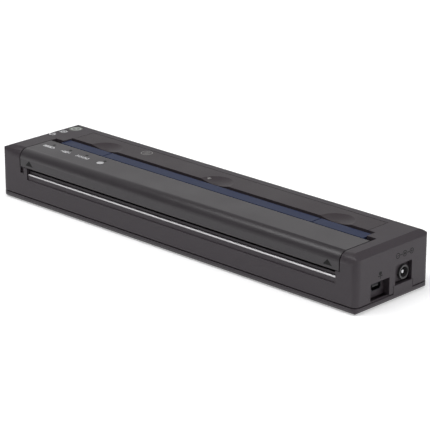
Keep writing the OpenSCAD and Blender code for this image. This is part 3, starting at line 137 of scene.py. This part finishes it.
# Reflections see a white wall behind the printer, under a dark ceiling and in front of a dark room.
bearing = sky.nodes.new("ShaderNodeSeparateXYZ")
sky.links.new(sky.nodes.new("ShaderNodeTexCoord").outputs["Generated"], bearing.inputs[0])
wall_light = 0.9
ceiling_light = 0.12
room_light = 0.15
wall_to_ceiling = spread(sky, bearing.outputs["Z"], 0.42, 0.62, wall_light, ceiling_light)
room_to_wall = spread(sky, bearing.outputs["Y"], -0.15, 0.2, room_light, 1)
reflected = maths(sky, "MULTIPLY", wall_to_ceiling, room_to_wall)
camera_ray = sky.nodes.new("ShaderNodeLightPath").outputs["Is Camera Ray"]
sky.links.new(maths(sky, "MAXIMUM", camera_ray, reflected), sky_mix.inputs["B"])

floor_size = 8
floor_drop = 0.0001
floor_grey = (0.8, 0.8, 0.8, 1)
floor_glow = 0.34
bpy.ops.object.select_all(action="DESELECT")
bpy.ops.mesh.primitive_plane_add(size=floor_size, location=(0, 0, -floor_drop))
floor = bpy.context.active_object
floor.name = "floor"
pale_floor = bpy.data.materials.new("pale_floor")
pale_floor.use_nodes = True
floor_tree = pale_floor.node_tree
floor_tree.nodes.clear()
matt = floor_tree.nodes.new("ShaderNodeBsdfDiffuse")
matt.inputs["Color"].default_value = floor_grey
glow = floor_tree.nodes.new("ShaderNodeEmission")
glow_level = maths(floor_tree, "MULTIPLY", seen_directly(floor_tree), floor_glow)
floor_tree.links.new(glow_level, glow.inputs["Strength"])
both = floor_tree.nodes.new("ShaderNodeAddShader")
floor_tree.links.new(matt.outputs[0], both.inputs[0])
floor_tree.links.new(glow.outputs[0], both.inputs[1])
floor_out = floor_tree.nodes.new("ShaderNodeOutputMaterial")
floor_tree.links.new(both.outputs[0], floor_out.inputs["Surface"])
floor.data.materials.append(pale_floor)

# Lower case: a shallow tray moulded in black plastic with a spark-eroded matt texture.
# Four long screws from below hold it to the upper case.
# Only its thin strip under the parting line and its tab under the power socket show.


def new_group(name, ins, outs):
    """An empty node group with named inputs and outputs."""
    group = bpy.data.node_groups.new(name, "ShaderNodeTree")
    for label, kind, value in ins:
        socket = group.interface.new_socket(label, in_out="INPUT", socket_type=kind)
        socket.default_value = value
    for label, kind in outs:
        group.interface.new_socket(label, in_out="OUTPUT", socket_type=kind)
    return group, group.nodes.new("NodeGroupInput"), group.nodes.new("NodeGroupOutput")


def noise(tree, size, detail, stretch=(1, 1, 1)):
    """A noise on Object coordinates whose lumps are about size metres wide."""
    where = tree.nodes.new("ShaderNodeTexCoord")
    scale = tree.nodes.new("ShaderNodeMapping")
    scale.inputs["Scale"].default_value = stretch
    texture = tree.nodes.new("ShaderNodeTexNoise")
    texture.inputs["Scale"].default_value = 1 / size
    texture.inputs["Detail"].default_value = detail
    tree.links.new(where.outputs["Object"], scale.inputs["Vector"])
    tree.links.new(scale.outputs["Vector"], texture.inputs["Vector"])
    return texture.outputs["Fac"]


def about(tree, value, low, high):
    """The middle of a noise, from 0.3 to 0.7, mapped to a span of its own."""
    return spread(tree, value, 0.3, 0.7, low, high)


def shaded(tree, colour, level):
    """A colour times a level that changes over the surface."""
    mix = tree.nodes.new("ShaderNodeMix")
    mix.data_type = "RGBA"
    mix.blend_type = "MULTIPLY"
    mix.inputs["Factor"].default_value = 1
    tree.links.new(colour, mix.inputs["A"])
    tree.links.new(level, mix.inputs["B"])
    return mix.outputs["Result"]


def bumped(tree, height, strength, depth):
    """The normal of a fine relief, depth metres deep at full strength."""
    bump = tree.nodes.new("ShaderNodeBump")
    bump.inputs["Distance"].default_value = depth
    tree.links.new(height, bump.inputs["Height"])
    tree.links.new(strength, bump.inputs["Strength"])
    return bump.outputs["Normal"]


surface_outs = (
    ("Colour", "NodeSocketColor"),
    ("Roughness", "NodeSocketFloat"),
    ("Normal", "NodeSocketVector"),
)
# Moulded texture: fine erosion grain, faint flow clouds and a little settled dust.
moulded, moulded_in, moulded_out = new_group(
    "moulded_texture",
    (("Colour", "NodeSocketColor", (0.05, 0.05, 0.05, 1)),
     ("Roughness", "NodeSocketFloat", 0.5),
     ("Depth", "NodeSocketFloat", 0.5)),
    surface_outs,
)
grain_size = 0.00028
cloud_size = 0.03
speck_size = 0.0011
grain = noise(moulded, grain_size, 3)
clouds = noise(moulded, cloud_size, 3)
specks = spread(moulded, noise(moulded, speck_size, 6), 0.62, 0.74, 0, 1)
dust_cover = 0.05
dust_colour = (0.2, 0.19, 0.18, 1)
erosion_depth = 0.00003
level = maths(moulded, "MULTIPLY", about(moulded, clouds, 0.93, 1.07), about(moulded, grain, 0.86, 1.14))
dusty = moulded.nodes.new("ShaderNodeMix")
dusty.data_type = "RGBA"
dusty.inputs["B"].default_value = dust_colour
moulded.links.new(shaded(moulded, moulded_in.outputs["Colour"], level), dusty.inputs["A"])
moulded.links.new(maths(moulded, "MULTIPLY", specks, dust_cover), dusty.inputs["Factor"])
moulded.links.new(dusty.outputs["Result"], moulded_out.inputs["Colour"])
rough = maths(moulded, "ADD", moulded_in.outputs["Roughness"], about(moulded, clouds, -0.03, 0.04))
moulded.links.new(rough, moulded_out.inputs["Roughness"])
relief = bumped(moulded, grain, moulded_in.outputs["Depth"], erosion_depth)
moulded.links.new(relief, moulded_out.inputs["Normal"])


def finish_with(name, group, metallic=0.0, specular=0.5, coat=0.0, **values):
    """A material whose shader takes colour, roughness and normal from a group."""
    material = bpy.data.materials.new(name)
    material.use_nodes = True
    tree = material.node_tree
    shader = tree.nodes["Principled BSDF"]
    shader.inputs["Metallic"].default_value = metallic
    shader.inputs["Specular IOR Level"].default_value = specular
    shader.inputs["Coat Weight"].default_value = coat
    effect = tree.nodes.new("ShaderNodeGroup")
    effect.node_tree = group
    for label, value in values.items():
        effect.inputs[label].default_value = value
    tree.links.new(effect.outputs["Colour"], shader.inputs["Base Color"])
    tree.links.new(effect.outputs["Roughness"], shader.inputs["Roughness"])
    tree.links.new(effect.outputs["Normal"], shader.inputs["Normal"])
    return material


def dress(material, *names):
    """Gives CAD nodes their material."""
    for name in names:
        for place in nodes[name].material_slots:
            place.material = material


def ease_edges(width, *names):
    """Small moulded or deburred radius on a CAD node's sharp edges."""
    same_point = 0.00001
    sharpest = math.radians(35)
    for name in names:
        weld = nodes[name].modifiers.new("weld", "WELD")
        weld.merge_threshold = same_point
        edge = nodes[name].modifiers.new("edge", "BEVEL")
        edge.width = width
        edge.segments = 2
        edge.limit_method = "ANGLE"
        edge.angle_limit = sharpest
        edge.harden_normals = False


case_edge = 0.00025
tray_black = (0.036, 0.029, 0.0345, 1)
tray_plastic = finish_with(
    "lower_case_plastic", moulded, specular=0.4, Colour=tray_black, Roughness=0.52, Depth=0.6)
dress(tray_plastic, "lower_case")
ease_edges(case_edge, "lower_case")

# Rubber feet: four round pads pressed into pockets under the lower case.
# They are moulded in black rubber, dull, with a fine ground face.
rubber = finish_with(
    "foot_rubber", moulded, specular=0.3, Colour=(0.018, 0.018, 0.018, 1), Roughness=0.82, Depth=1.0)
dress(rubber, "rubber_feet")

# Screws: small zinc-plated pan heads, cold formed and rolled from wire.
# They hold the two cases together, and the chassis and the boards in them.
# Drawn metal: fine lines along the bar, with faint patches in the plating.
metal, metal_in, metal_out = new_group(
    "drawn_metal",
    (("Colour", "NodeSocketColor", (0.6, 0.6, 0.6, 1)),
     ("Roughness", "NodeSocketFloat", 0.3),
     ("Depth", "NodeSocketFloat", 0.3)),
    surface_outs,
)
line_size = 0.0003
along_bar = (0.02, 1, 1)
patch_size = 0.006
lines = noise(metal, line_size, 4, along_bar)
patches = noise(metal, patch_size, 3)
line_depth = 0.00002
metal_level = maths(metal, "MULTIPLY", about(metal, lines, 0.92, 1.05), about(metal, patches, 0.94, 1.04))
metal_colour = shaded(metal, metal_in.outputs["Colour"], metal_level)
metal.links.new(metal_colour, metal_out.inputs["Colour"])
metal_rough = maths(metal, "ADD", metal_in.outputs["Roughness"], about(metal, lines, -0.06, 0.08))
metal.links.new(metal_rough, metal_out.inputs["Roughness"])
metal_relief = bumped(metal, lines, metal_in.outputs["Depth"], line_depth)
metal.links.new(metal_relief, metal_out.inputs["Normal"])
screw_steel = finish_with(
    "screw_steel", metal, metallic=1, Colour=(0.55, 0.55, 0.56, 1), Roughness=0.32, Depth=0.2)
dress(screw_steel, "case_screws", "chassis_screws", "board_screws")

# Chassis: cut and folded from zinc-plated sheet steel, with a side plate at each end.
# It is screwed down on posts in the lower case and carries the roller, the gears and the motor.
# The gears turn on steel studs riveted into its left side plate.
plated = finish_with(
    "chassis_steel", metal, metallic=1, Colour=(0.5, 0.51, 0.52, 1), Roughness=0.38, Depth=0.3)
dress(plated, "chassis", "motor")
turned = finish_with(
    "turned_steel", metal, metallic=1, Colour=(0.58, 0.58, 0.6, 1), Roughness=0.22, Depth=0.1)
dress(turned, "gear_studs")

# Gears and bushes: pale acetal, moulded, slightly waxy, running dry on steel.
# The pinion is turned from brass and pressed on the motor's shaft.
acetal = finish_with("acetal", moulded, Colour=(0.68, 0.65, 0.57, 1), Roughness=0.36, Depth=0.1)
dress(acetal, "platen_gear", "front_idler_gear", "rear_idler_gear", "platen_bushes")
brass = finish_with("brass", metal, metallic=1, Colour=(0.62, 0.45, 0.18, 1), Roughness=0.28, Depth=0.1)
dress(brass, "motor_pinion")

# Print head: a strip of glazed ceramic with a row of heaters, glued to a heat sink.
# The heat sink is extruded aluminium, and a flat film cable leaves its rear edge.
glaze = finish_with(
    "ceramic_glaze", moulded, coat=0.5, Colour=(0.62, 0.58, 0.48, 1), Roughness=0.2, Depth=0.0)
dress(glaze, "print_head")
extruded = finish_with(
    "extruded_aluminium", metal, metallic=1, Colour=(0.62, 0.63, 0.65, 1), Roughness=0.34, Depth=0.4)
dress(extruded, "head_heat_sink")
cable_film = finish_with(
    "cable_film", moulded, coat=0.3, Colour=(0.42, 0.2, 0.04, 1), Roughness=0.3, Depth=0.0)
dress(cable_film, "head_cable")

# Leaf springs: three strips of spring steel, each folded into a low bridge.
# Their feet stand on the chassis and their tops press the heat sink up.
spring_low, spring_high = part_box("head_springs")
foot_length = 0.003
slope_length = 0.006
leaf = 0.0003
fold_radius = 0.0008
bridge = 2 * (foot_length + slope_length) + foot_length
pitch = (spring_high.x - spring_low.x - bridge) / 2
rise = spring_high.z - spring_low.z - leaf
spring_middle = (spring_low.y + spring_high.y) / 2
strips = []
for place in range(3):
    bpy.ops.object.select_all(action="DESELECT")
    bpy.ops.mesh.primitive_plane_add(size=1)
    strip = bpy.context.active_object
    strip.scale = (foot_length, spring_high.y - spring_low.y, 1)
    strip.location = (spring_low.x + place * pitch + foot_length / 2, spring_middle, spring_low.z + leaf)
    bpy.ops.object.transform_apply(location=True, rotation=True, scale=True)
    for across, up in ((slope_length, rise), (foot_length, 0), (slope_length, -rise), (foot_length, 0)):
        end = max(corner.co.x for corner in strip.data.vertices)
        bpy.ops.object.mode_set(mode="EDIT")
        bpy.ops.mesh.select_all(action="DESELECT")
        bpy.ops.object.mode_set(mode="OBJECT")
        for corner in strip.data.vertices:
            corner.select = corner.co.x > end - leaf / 10
        for side in strip.data.edges:
            side.select = all(strip.data.vertices[i].select for i in side.vertices)
        bpy.ops.object.mode_set(mode="EDIT")
        bpy.ops.mesh.extrude_region_move(TRANSFORM_OT_translate={"value": (across, 0, up)})
        bpy.ops.object.mode_set(mode="OBJECT")
    folds = strip.modifiers.new("folds", "BEVEL")
    folds.width = fold_radius
    folds.segments = 4
    folds.limit_method = "ANGLE"
    folds.angle_limit = math.radians(2)
    sheet = strip.modifiers.new("sheet", "SOLIDIFY")
    sheet.thickness = leaf
    sheet.offset = -1
    for step in ("folds", "sheet"):
        bpy.ops.object.modifier_apply(modifier=step)
    strips.append(strip)
bpy.ops.object.select_all(action="DESELECT")
for strip in strips:
    strip.select_set(True)
bpy.context.view_layer.objects.active = strips[0]
bpy.ops.object.join()
leaf_springs = bpy.context.active_object
leaf_springs.name = "leaf_springs"
leaf_springs.data.name = "leaf_springs"
leaf_springs.data.materials.append(plated)
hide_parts("head_springs")
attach(leaf_springs, "base")
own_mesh(leaf_springs)

# Boards: glass-fibre boards under green solder mask, with their parts soldered on.
# The chips, the push switches and the tongue of the data socket are moulded black.
# The paper sensor is black too, and looks at the sheet through a window in the rear guide wall.
mask_green = finish_with(
    "solder_mask", moulded, coat=0.2, Colour=(0.012, 0.07, 0.03, 1), Roughness=0.3, Depth=0.1)
dress(mask_green, "main_board", "button_board")
chip_black = finish_with("chip_black", moulded, Colour=(0.016, 0.016, 0.017, 1), Roughness=0.5, Depth=0.4)
dress(chip_black, "board_parts", "push_switches", "paper_sensor", "usb_tongue")

# Sockets in the right end: a folded and plated shell for data, a moulded jack for power.
# Both are soldered to the main board and look out through the case.
# The plated shell's colour is set near black, far below nickel: painted shade for the deep recess it looks
# out of.
socket_steel = finish_with(
    "socket_steel", metal, metallic=1, Colour=(0.045, 0.045, 0.05, 1), Roughness=0.45, Depth=0.1)
dress(socket_steel, "usb_socket")
# The jack's black is lifted above the case plastic: painted light on the shaded back wall of its recess.
jack_black = finish_with("jack_black", moulded, Colour=(0.055, 0.053, 0.055, 1), Roughness=0.42, Depth=0.2)
dress(jack_black, "dc_jack")
dress(turned, "dc_jack_pin")

# Battery pack: a block of cells in a smooth black wrap, in the rear half of the case.
# It is slid in through the door behind it, and the contact blades that it meets are brass.
wrap = finish_with("battery_wrap", moulded, Colour=(0.02, 0.02, 0.022, 1), Roughness=0.4, Depth=0.2)
dress(wrap, "battery_pack")
dress(brass, "battery_contacts")

# Platen roller: silicone rubber, vulcanised on a turned steel shaft and ground round.
# It turns in the two bushes and draws the paper over the print head.
roller_rubber = finish_with(
    "roller_rubber", moulded, specular=0.35, Colour=(0.014, 0.014, 0.015, 1), Roughness=0.7, Depth=0.5)
dress(roller_rubber, "platen_roller")
dress(turned, "platen_shaft")

# Upper case: the end blocks, the front wall and the frame of the top in one moulding.
# It is the same black plastic as the lower case, and its marks are printed on it with a pad.
# The battery door closes its rear wall, in the same plastic.
case_black = (0.0355, 0.0285, 0.034, 1)
case_plastic = finish_with(
    "upper_case_plastic", moulded, specular=0.38, Colour=case_black, Roughness=0.5, Depth=0.6)
dress(case_plastic, "upper_case", "battery_door")
ease_edges(case_edge, "upper_case", "battery_door")
film = 0.00003
mm = 0.001
quarter_turn = math.pi / 2


def stroke(x, y, length, width, turn=0.0):
    """A round-ended stroke of ink, drawn flat; sizes in millimetres."""
    bpy.ops.object.select_all(action="DESELECT")
    bpy.ops.mesh.primitive_plane_add(size=mm, location=(x * mm, y * mm, 0), rotation=(0, 0, turn))
    line = bpy.context.active_object
    line.scale = (length, width, 1)
    bpy.ops.object.transform_apply(location=True, rotation=True, scale=True)
    bpy.ops.object.mode_set(mode="EDIT")
    bpy.ops.mesh.select_all(action="SELECT")
    bpy.ops.mesh.bevel(offset=width * 0.45 * mm, segments=3, affect="VERTICES")
    bpy.ops.object.mode_set(mode="OBJECT")
    return line


def ring(x, y, radius, width, gap=0.0):
    """A printed circle, open at its top by an angle; sizes in millimetres."""
    bpy.ops.object.select_all(action="DESELECT")
    bpy.ops.mesh.primitive_circle_add(vertices=48, radius=radius * mm, fill_type="NGON")
    line = bpy.context.active_object
    bpy.ops.object.mode_set(mode="EDIT")
    bpy.ops.mesh.select_all(action="SELECT")
    bpy.ops.mesh.inset(thickness=width * mm)
    bpy.ops.mesh.delete(type="FACE")
    bpy.ops.object.mode_set(mode="OBJECT")
    for face in line.data.polygons:
        face.select = abs(math.atan2(face.center.x, face.center.y)) < gap / 2
    bpy.ops.object.mode_set(mode="EDIT")
    bpy.ops.mesh.delete(type="FACE")
    bpy.ops.object.mode_set(mode="OBJECT")
    line.location = (x * mm, y * mm, 0)
    bpy.ops.object.transform_apply(location=True)
    return line


def patch(x, y, corners, wide, high):
    """A filled shape with equal corners, rounded a little; sizes in millimetres."""
    bpy.ops.object.select_all(action="DESELECT")
    bpy.ops.mesh.primitive_circle_add(
        vertices=corners, radius=mm, fill_type="NGON", location=(x * mm, y * mm, 0))
    shape = bpy.context.active_object
    shape.scale = (wide, high, 1)
    bpy.ops.object.transform_apply(location=True, rotation=True, scale=True)
    bpy.ops.object.mode_set(mode="EDIT")
    bpy.ops.mesh.select_all(action="SELECT")
    bpy.ops.mesh.bevel(offset=min(wide, high) * 0.08 * mm, segments=2, affect="VERTICES")
    bpy.ops.object.mode_set(mode="OBJECT")
    return shape


def print_mark(name, parts, place, turn, ink, body):
    """Joins the strokes, gives the ink its thickness and lays it on a face of the case."""
    bpy.ops.object.select_all(action="DESELECT")
    for part in parts:
        part.select_set(True)
    bpy.context.view_layer.objects.active = parts[0]
    if len(parts) > 1:
        bpy.ops.object.join()
    mark = bpy.context.active_object
    mark.name = name
    mark.data.name = name
    bpy.ops.object.mode_set(mode="EDIT")
    bpy.ops.mesh.select_all(action="SELECT")
    bpy.ops.mesh.extrude_region_move(TRANSFORM_OT_translate={"value": (0, 0, film)})
    bpy.ops.mesh.select_all(action="SELECT")
    bpy.ops.mesh.normals_make_consistent(inside=False)
    bpy.ops.object.mode_set(mode="OBJECT")
    mark.rotation_euler = turn
    mark.location = place
    bpy.ops.object.transform_apply(location=True, rotation=True, scale=True)
    mark.data.materials.append(ink)
    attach(mark, body)


white_ink = finish_with("white_ink", moulded, Colour=(0.72, 0.72, 0.73, 1), Roughness=0.55, Depth=0.2)
dark_ink = finish_with(
    "dark_ink", moulded, specular=0.2, Colour=(0.005, 0.005, 0.005, 1), Roughness=0.6, Depth=0.3)
# The ink bites a third of its thickness into the faces that carry it.
bite = film / 3
top_z = cad_high[2] - bite
end_x = cad_high[0] - bite
front_y = cad_low[1] + bite
on_top = (0, 0, 0)
on_end = (quarter_turn, 0, quarter_turn)
on_front = (quarter_turn, 0, 0)
line_width = 0.4
fine_width = 0.35
# Power symbol in front of the power button: an open ring and a stroke.
power_width = 0.5
power_place = (-0.1206, 0.0037, top_z)
power = [ring(0, 0, 1.9, power_width, 1.3), stroke(0, 1.1, 2.3, power_width, quarter_turn)]
print_mark("power_symbol", power, power_place, on_top, white_ink, "base")
# Polarity symbol over the power socket: two end rings and a centre dot in an open ring.
pole = 5.2
pole_radius = 1.5
link = 2.7
link_length = 1.8
polarity_place = (end_x, 0.0085, 0.0228)
polarity = [ring(-pole, 0, pole_radius, line_width), stroke(-pole, 0, pole_radius, fine_width)]
polarity += [stroke(-link, 0, link_length, line_width), ring(0, 0, 1.6, line_width)]
polarity += [patch(0, 0, 12, 0.7, 0.7), stroke(link, 0, link_length, line_width)]
polarity += [ring(pole, 0, pole_radius, line_width)]
polarity += [stroke(pole, 0, pole_radius, fine_width, turn) for turn in (0, quarter_turn)]
print_mark("polarity_symbol", polarity, polarity_place, on_end, dark_ink, "base")
# Plug symbol over the data socket: a body, its shoulder and its lead.
plug_place = (end_x, -0.0096, 0.0163)
plug = [stroke(0, 1.1, 2.2, 1.8), stroke(0, -0.2, 3.4, 0.5), stroke(0, -1.1, 1.4, 0.45, quarter_turn)]
print_mark("data_symbol", plug, plug_place, on_end, dark_ink, "base")

# Tear bar: a strip of stainless steel, ground bright along its front edge.
# It lies on a shelf in the exit slot, which is part of the upper case.
bar_steel = finish_with(
    "tear_bar_steel", metal, metallic=1, Colour=(0.58, 0.57, 0.58, 1), Roughness=0.36, Depth=0.3)
dress(bar_steel, "tear_bar")

# Feed guide: the coloured lip in front of the slot, which leads the sheet down to the roller.
# It is moulded in blue plastic with a satin face and is fixed in the upper case.
lip_blue = finish_with(
    "feed_lip_blue", moulded, specular=0.12, Colour=(0.010, 0.018, 0.055, 1), Roughness=0.42, Depth=0.3)
dress(lip_blue, "feed_guide")
lip_edge = 0.0005
ease_edges(lip_edge, "feed_guide")

# Rear paper guide: the black panel behind the slot, moulded with three finger scoops.
# Its two pale marks show which face of the sheet is printed, and where the sheet goes in.
panel_black = (0.036, 0.0288, 0.0328, 1)
panel_plastic = finish_with(
    "rear_panel_plastic", moulded, specular=0.26, Colour=panel_black, Roughness=0.48, Depth=0.6)
dress(panel_plastic, "rear_paper_guide")
fine_edge = 0.0002
ease_edges(fine_edge, "rear_paper_guide")
pale_ink = finish_with("pale_ink", moulded, Colour=(0.19, 0.185, 0.18, 1), Roughness=0.5, Depth=0.3)
hair_width = 0.3
text_pitch = 0.7
sheet_place = (-0.0584, 0.0160, top_z)
lined_sheet = [ring(0, 0, 3.3, 0.5)]
lined_sheet += [stroke(side * 1.2, 0, 3.3, hair_width, quarter_turn) for side in (-1, 1)]
lined_sheet += [stroke(0, side * 1.5, 2.6, hair_width) for side in (1, -1)]
lined_sheet += [stroke(0, line * text_pitch, 1.5, hair_width) for line in (1, 0, -1)]
print_mark("sheet_symbol", lined_sheet, sheet_place, on_top, pale_ink, "base")
# The small arrow lies on the slope of the middle scoop and points to the slot.
scoop_slope = Vector((0.204, -0.096, 0.974))
arrow_place = Vector((-0.00523, 0.00929, 0.02958)) - scoop_slope * film / 15
arrow_turn = (math.asin(-scoop_slope.y), math.asin(scoop_slope.x), 0)
arrow = [patch(0, -0.1, 3, 1.3, -0.9), stroke(0, 0.9, 2.1, line_width)]
print_mark("feed_arrow", arrow, arrow_place, arrow_turn, pale_ink, "base")

# Release cover: the top strip in front of the slot and the rounded upper front in one moulding.
# It is black plastic with a finer texture, and swings on two steel pins in its rear notches.
# Two dark arrowheads on its front show where a thumb lifts it.
cover_plastic = finish_with(
    "cover_plastic", moulded, specular=0.42, Colour=(0.0305, 0.0265, 0.030, 1), Roughness=0.4, Depth=0.5)
dress(cover_plastic, "release_cover")
ease_edges(fine_edge, "release_cover")
dress(turned, "cover_hinge_pins")
arrowhead_width = 3.4
arrowhead_height = 2.0
arrowhead_z = 0.02285
for side, x in (("left", -0.1051), ("right", 0.1094)):
    arrowhead = [patch(0, 0, 3, arrowhead_width, arrowhead_height)]
    print_mark("lift_arrow_" + side, arrowhead, (x, front_y, arrowhead_z), on_front, dark_ink, "cover")

# Indicator lenses: four small round windows of dark clear plastic, set in holes through the cover.
# White symbols stand in front of them: battery, sheets, warmth and radio waves.
lens_plastic = finish_with(
    "lens_plastic", moulded, specular=0.04, Colour=(0.003, 0.004, 0.003, 1), Roughness=0.3, Depth=0.0)
dress(lens_plastic, "indicator_lenses")
symbol_row = -0.0132
symbol_half = 0.9
symbol_height = 2 * symbol_half
# Battery: an outline with its knob, filled with three bars.
battery_length = 7.2
battery_place = (-0.1048, symbol_row, top_z)
battery = [stroke(0, side * symbol_half, battery_length, line_width) for side in (1, -1)]
battery += [stroke(side * battery_length / 2, 0, 2.1, line_width, quarter_turn) for side in (-1, 1)]
battery += [stroke(4.2, 0, 1.0, 0.6, quarter_turn)]
battery += [stroke(x, 0, 1.4, symbol_half) for x in (-2.3, -0.5, 1.3)]
print_mark("battery_symbol", battery, battery_place, on_top, white_ink, "cover")
# Sheets: one sheet with two lines on it, between the edges of two more.
sheets_place = (-0.0912, symbol_row, top_z)
sheets = [stroke(side * 1.6, 0, symbol_height, line_width, quarter_turn) for side in (-1, 1)]
sheets += [stroke(0, side * symbol_half, 3.4, line_width) for side in (1, -1)]
sheets += [stroke(0, y, 1.8, fine_width) for y in (0.2, -0.35)]
sheets += [stroke(side * 3.0, 0, symbol_height, line_width, quarter_turn) for side in (-1, 1)]
print_mark("sheets_symbol", sheets, sheets_place, on_top, white_ink, "cover")
# Warmth: four bent waves with three straight bars between them.
wave_pitch = 2.8
wave_lean = 0.45
wave_width = 0.45
warmth_place = (-0.0778, symbol_row, top_z)
waves = [
    stroke(step * wave_pitch, half * 0.62, 1.5, wave_width, quarter_turn + half * wave_lean)
    for step in (-1.5, -0.5, 0.5, 1.5) for half in (1, -1)]
waves += [stroke(step * wave_pitch, 0, 2.0, wave_width, quarter_turn) for step in (-1, 0, 1)]
print_mark("warmth_symbol", waves, warmth_place, on_top, white_ink, "cover")
# Radio waves: a dot in two rings.
radio_place = (-0.0641, symbol_row, top_z)
radio = [patch(0, 0, 12, 0.45, 0.45)] + [ring(0, 0, radius, line_width) for radius in (1.1, 1.85)]
print_mark("radio_symbol", radio, radio_place, on_top, white_ink, "cover")

# Buttons: two round caps on the left end block, moulded in grey plastic with a satin face.
# Each stands on a push switch and carries a printed ring with an arrowhead in it.
button_plastic = finish_with(
    "button_plastic", moulded, Colour=(0.15, 0.15, 0.155, 1), Roughness=0.4, Depth=0.3)
dress(button_plastic, "power_button")
feed_plastic = finish_with(
    "feed_button_plastic", moulded, Colour=(0.115, 0.13, 0.105, 1), Roughness=0.4, Depth=0.3)
dress(feed_plastic, "feed_button")
ease_edges(case_edge, "power_button", "feed_button")
cap_ink = finish_with("cap_ink", moulded, Colour=(0.42, 0.42, 0.43, 1), Roughness=0.5, Depth=0.3)
for key, radius in (("power", 1.9), ("feed", 2.8)):
    low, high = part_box(key + "_button")
    middle = (low + high) / 2
    cap_print = [ring(0, 0, radius, 0.5), patch(0, 0, 3, radius * 0.45, radius * 0.35)]
    cap_place = (middle.x, middle.y, high.z - bite)
    print_mark(key + "_cap_print", cap_print, cap_place, on_top, cap_ink, key + "_key")
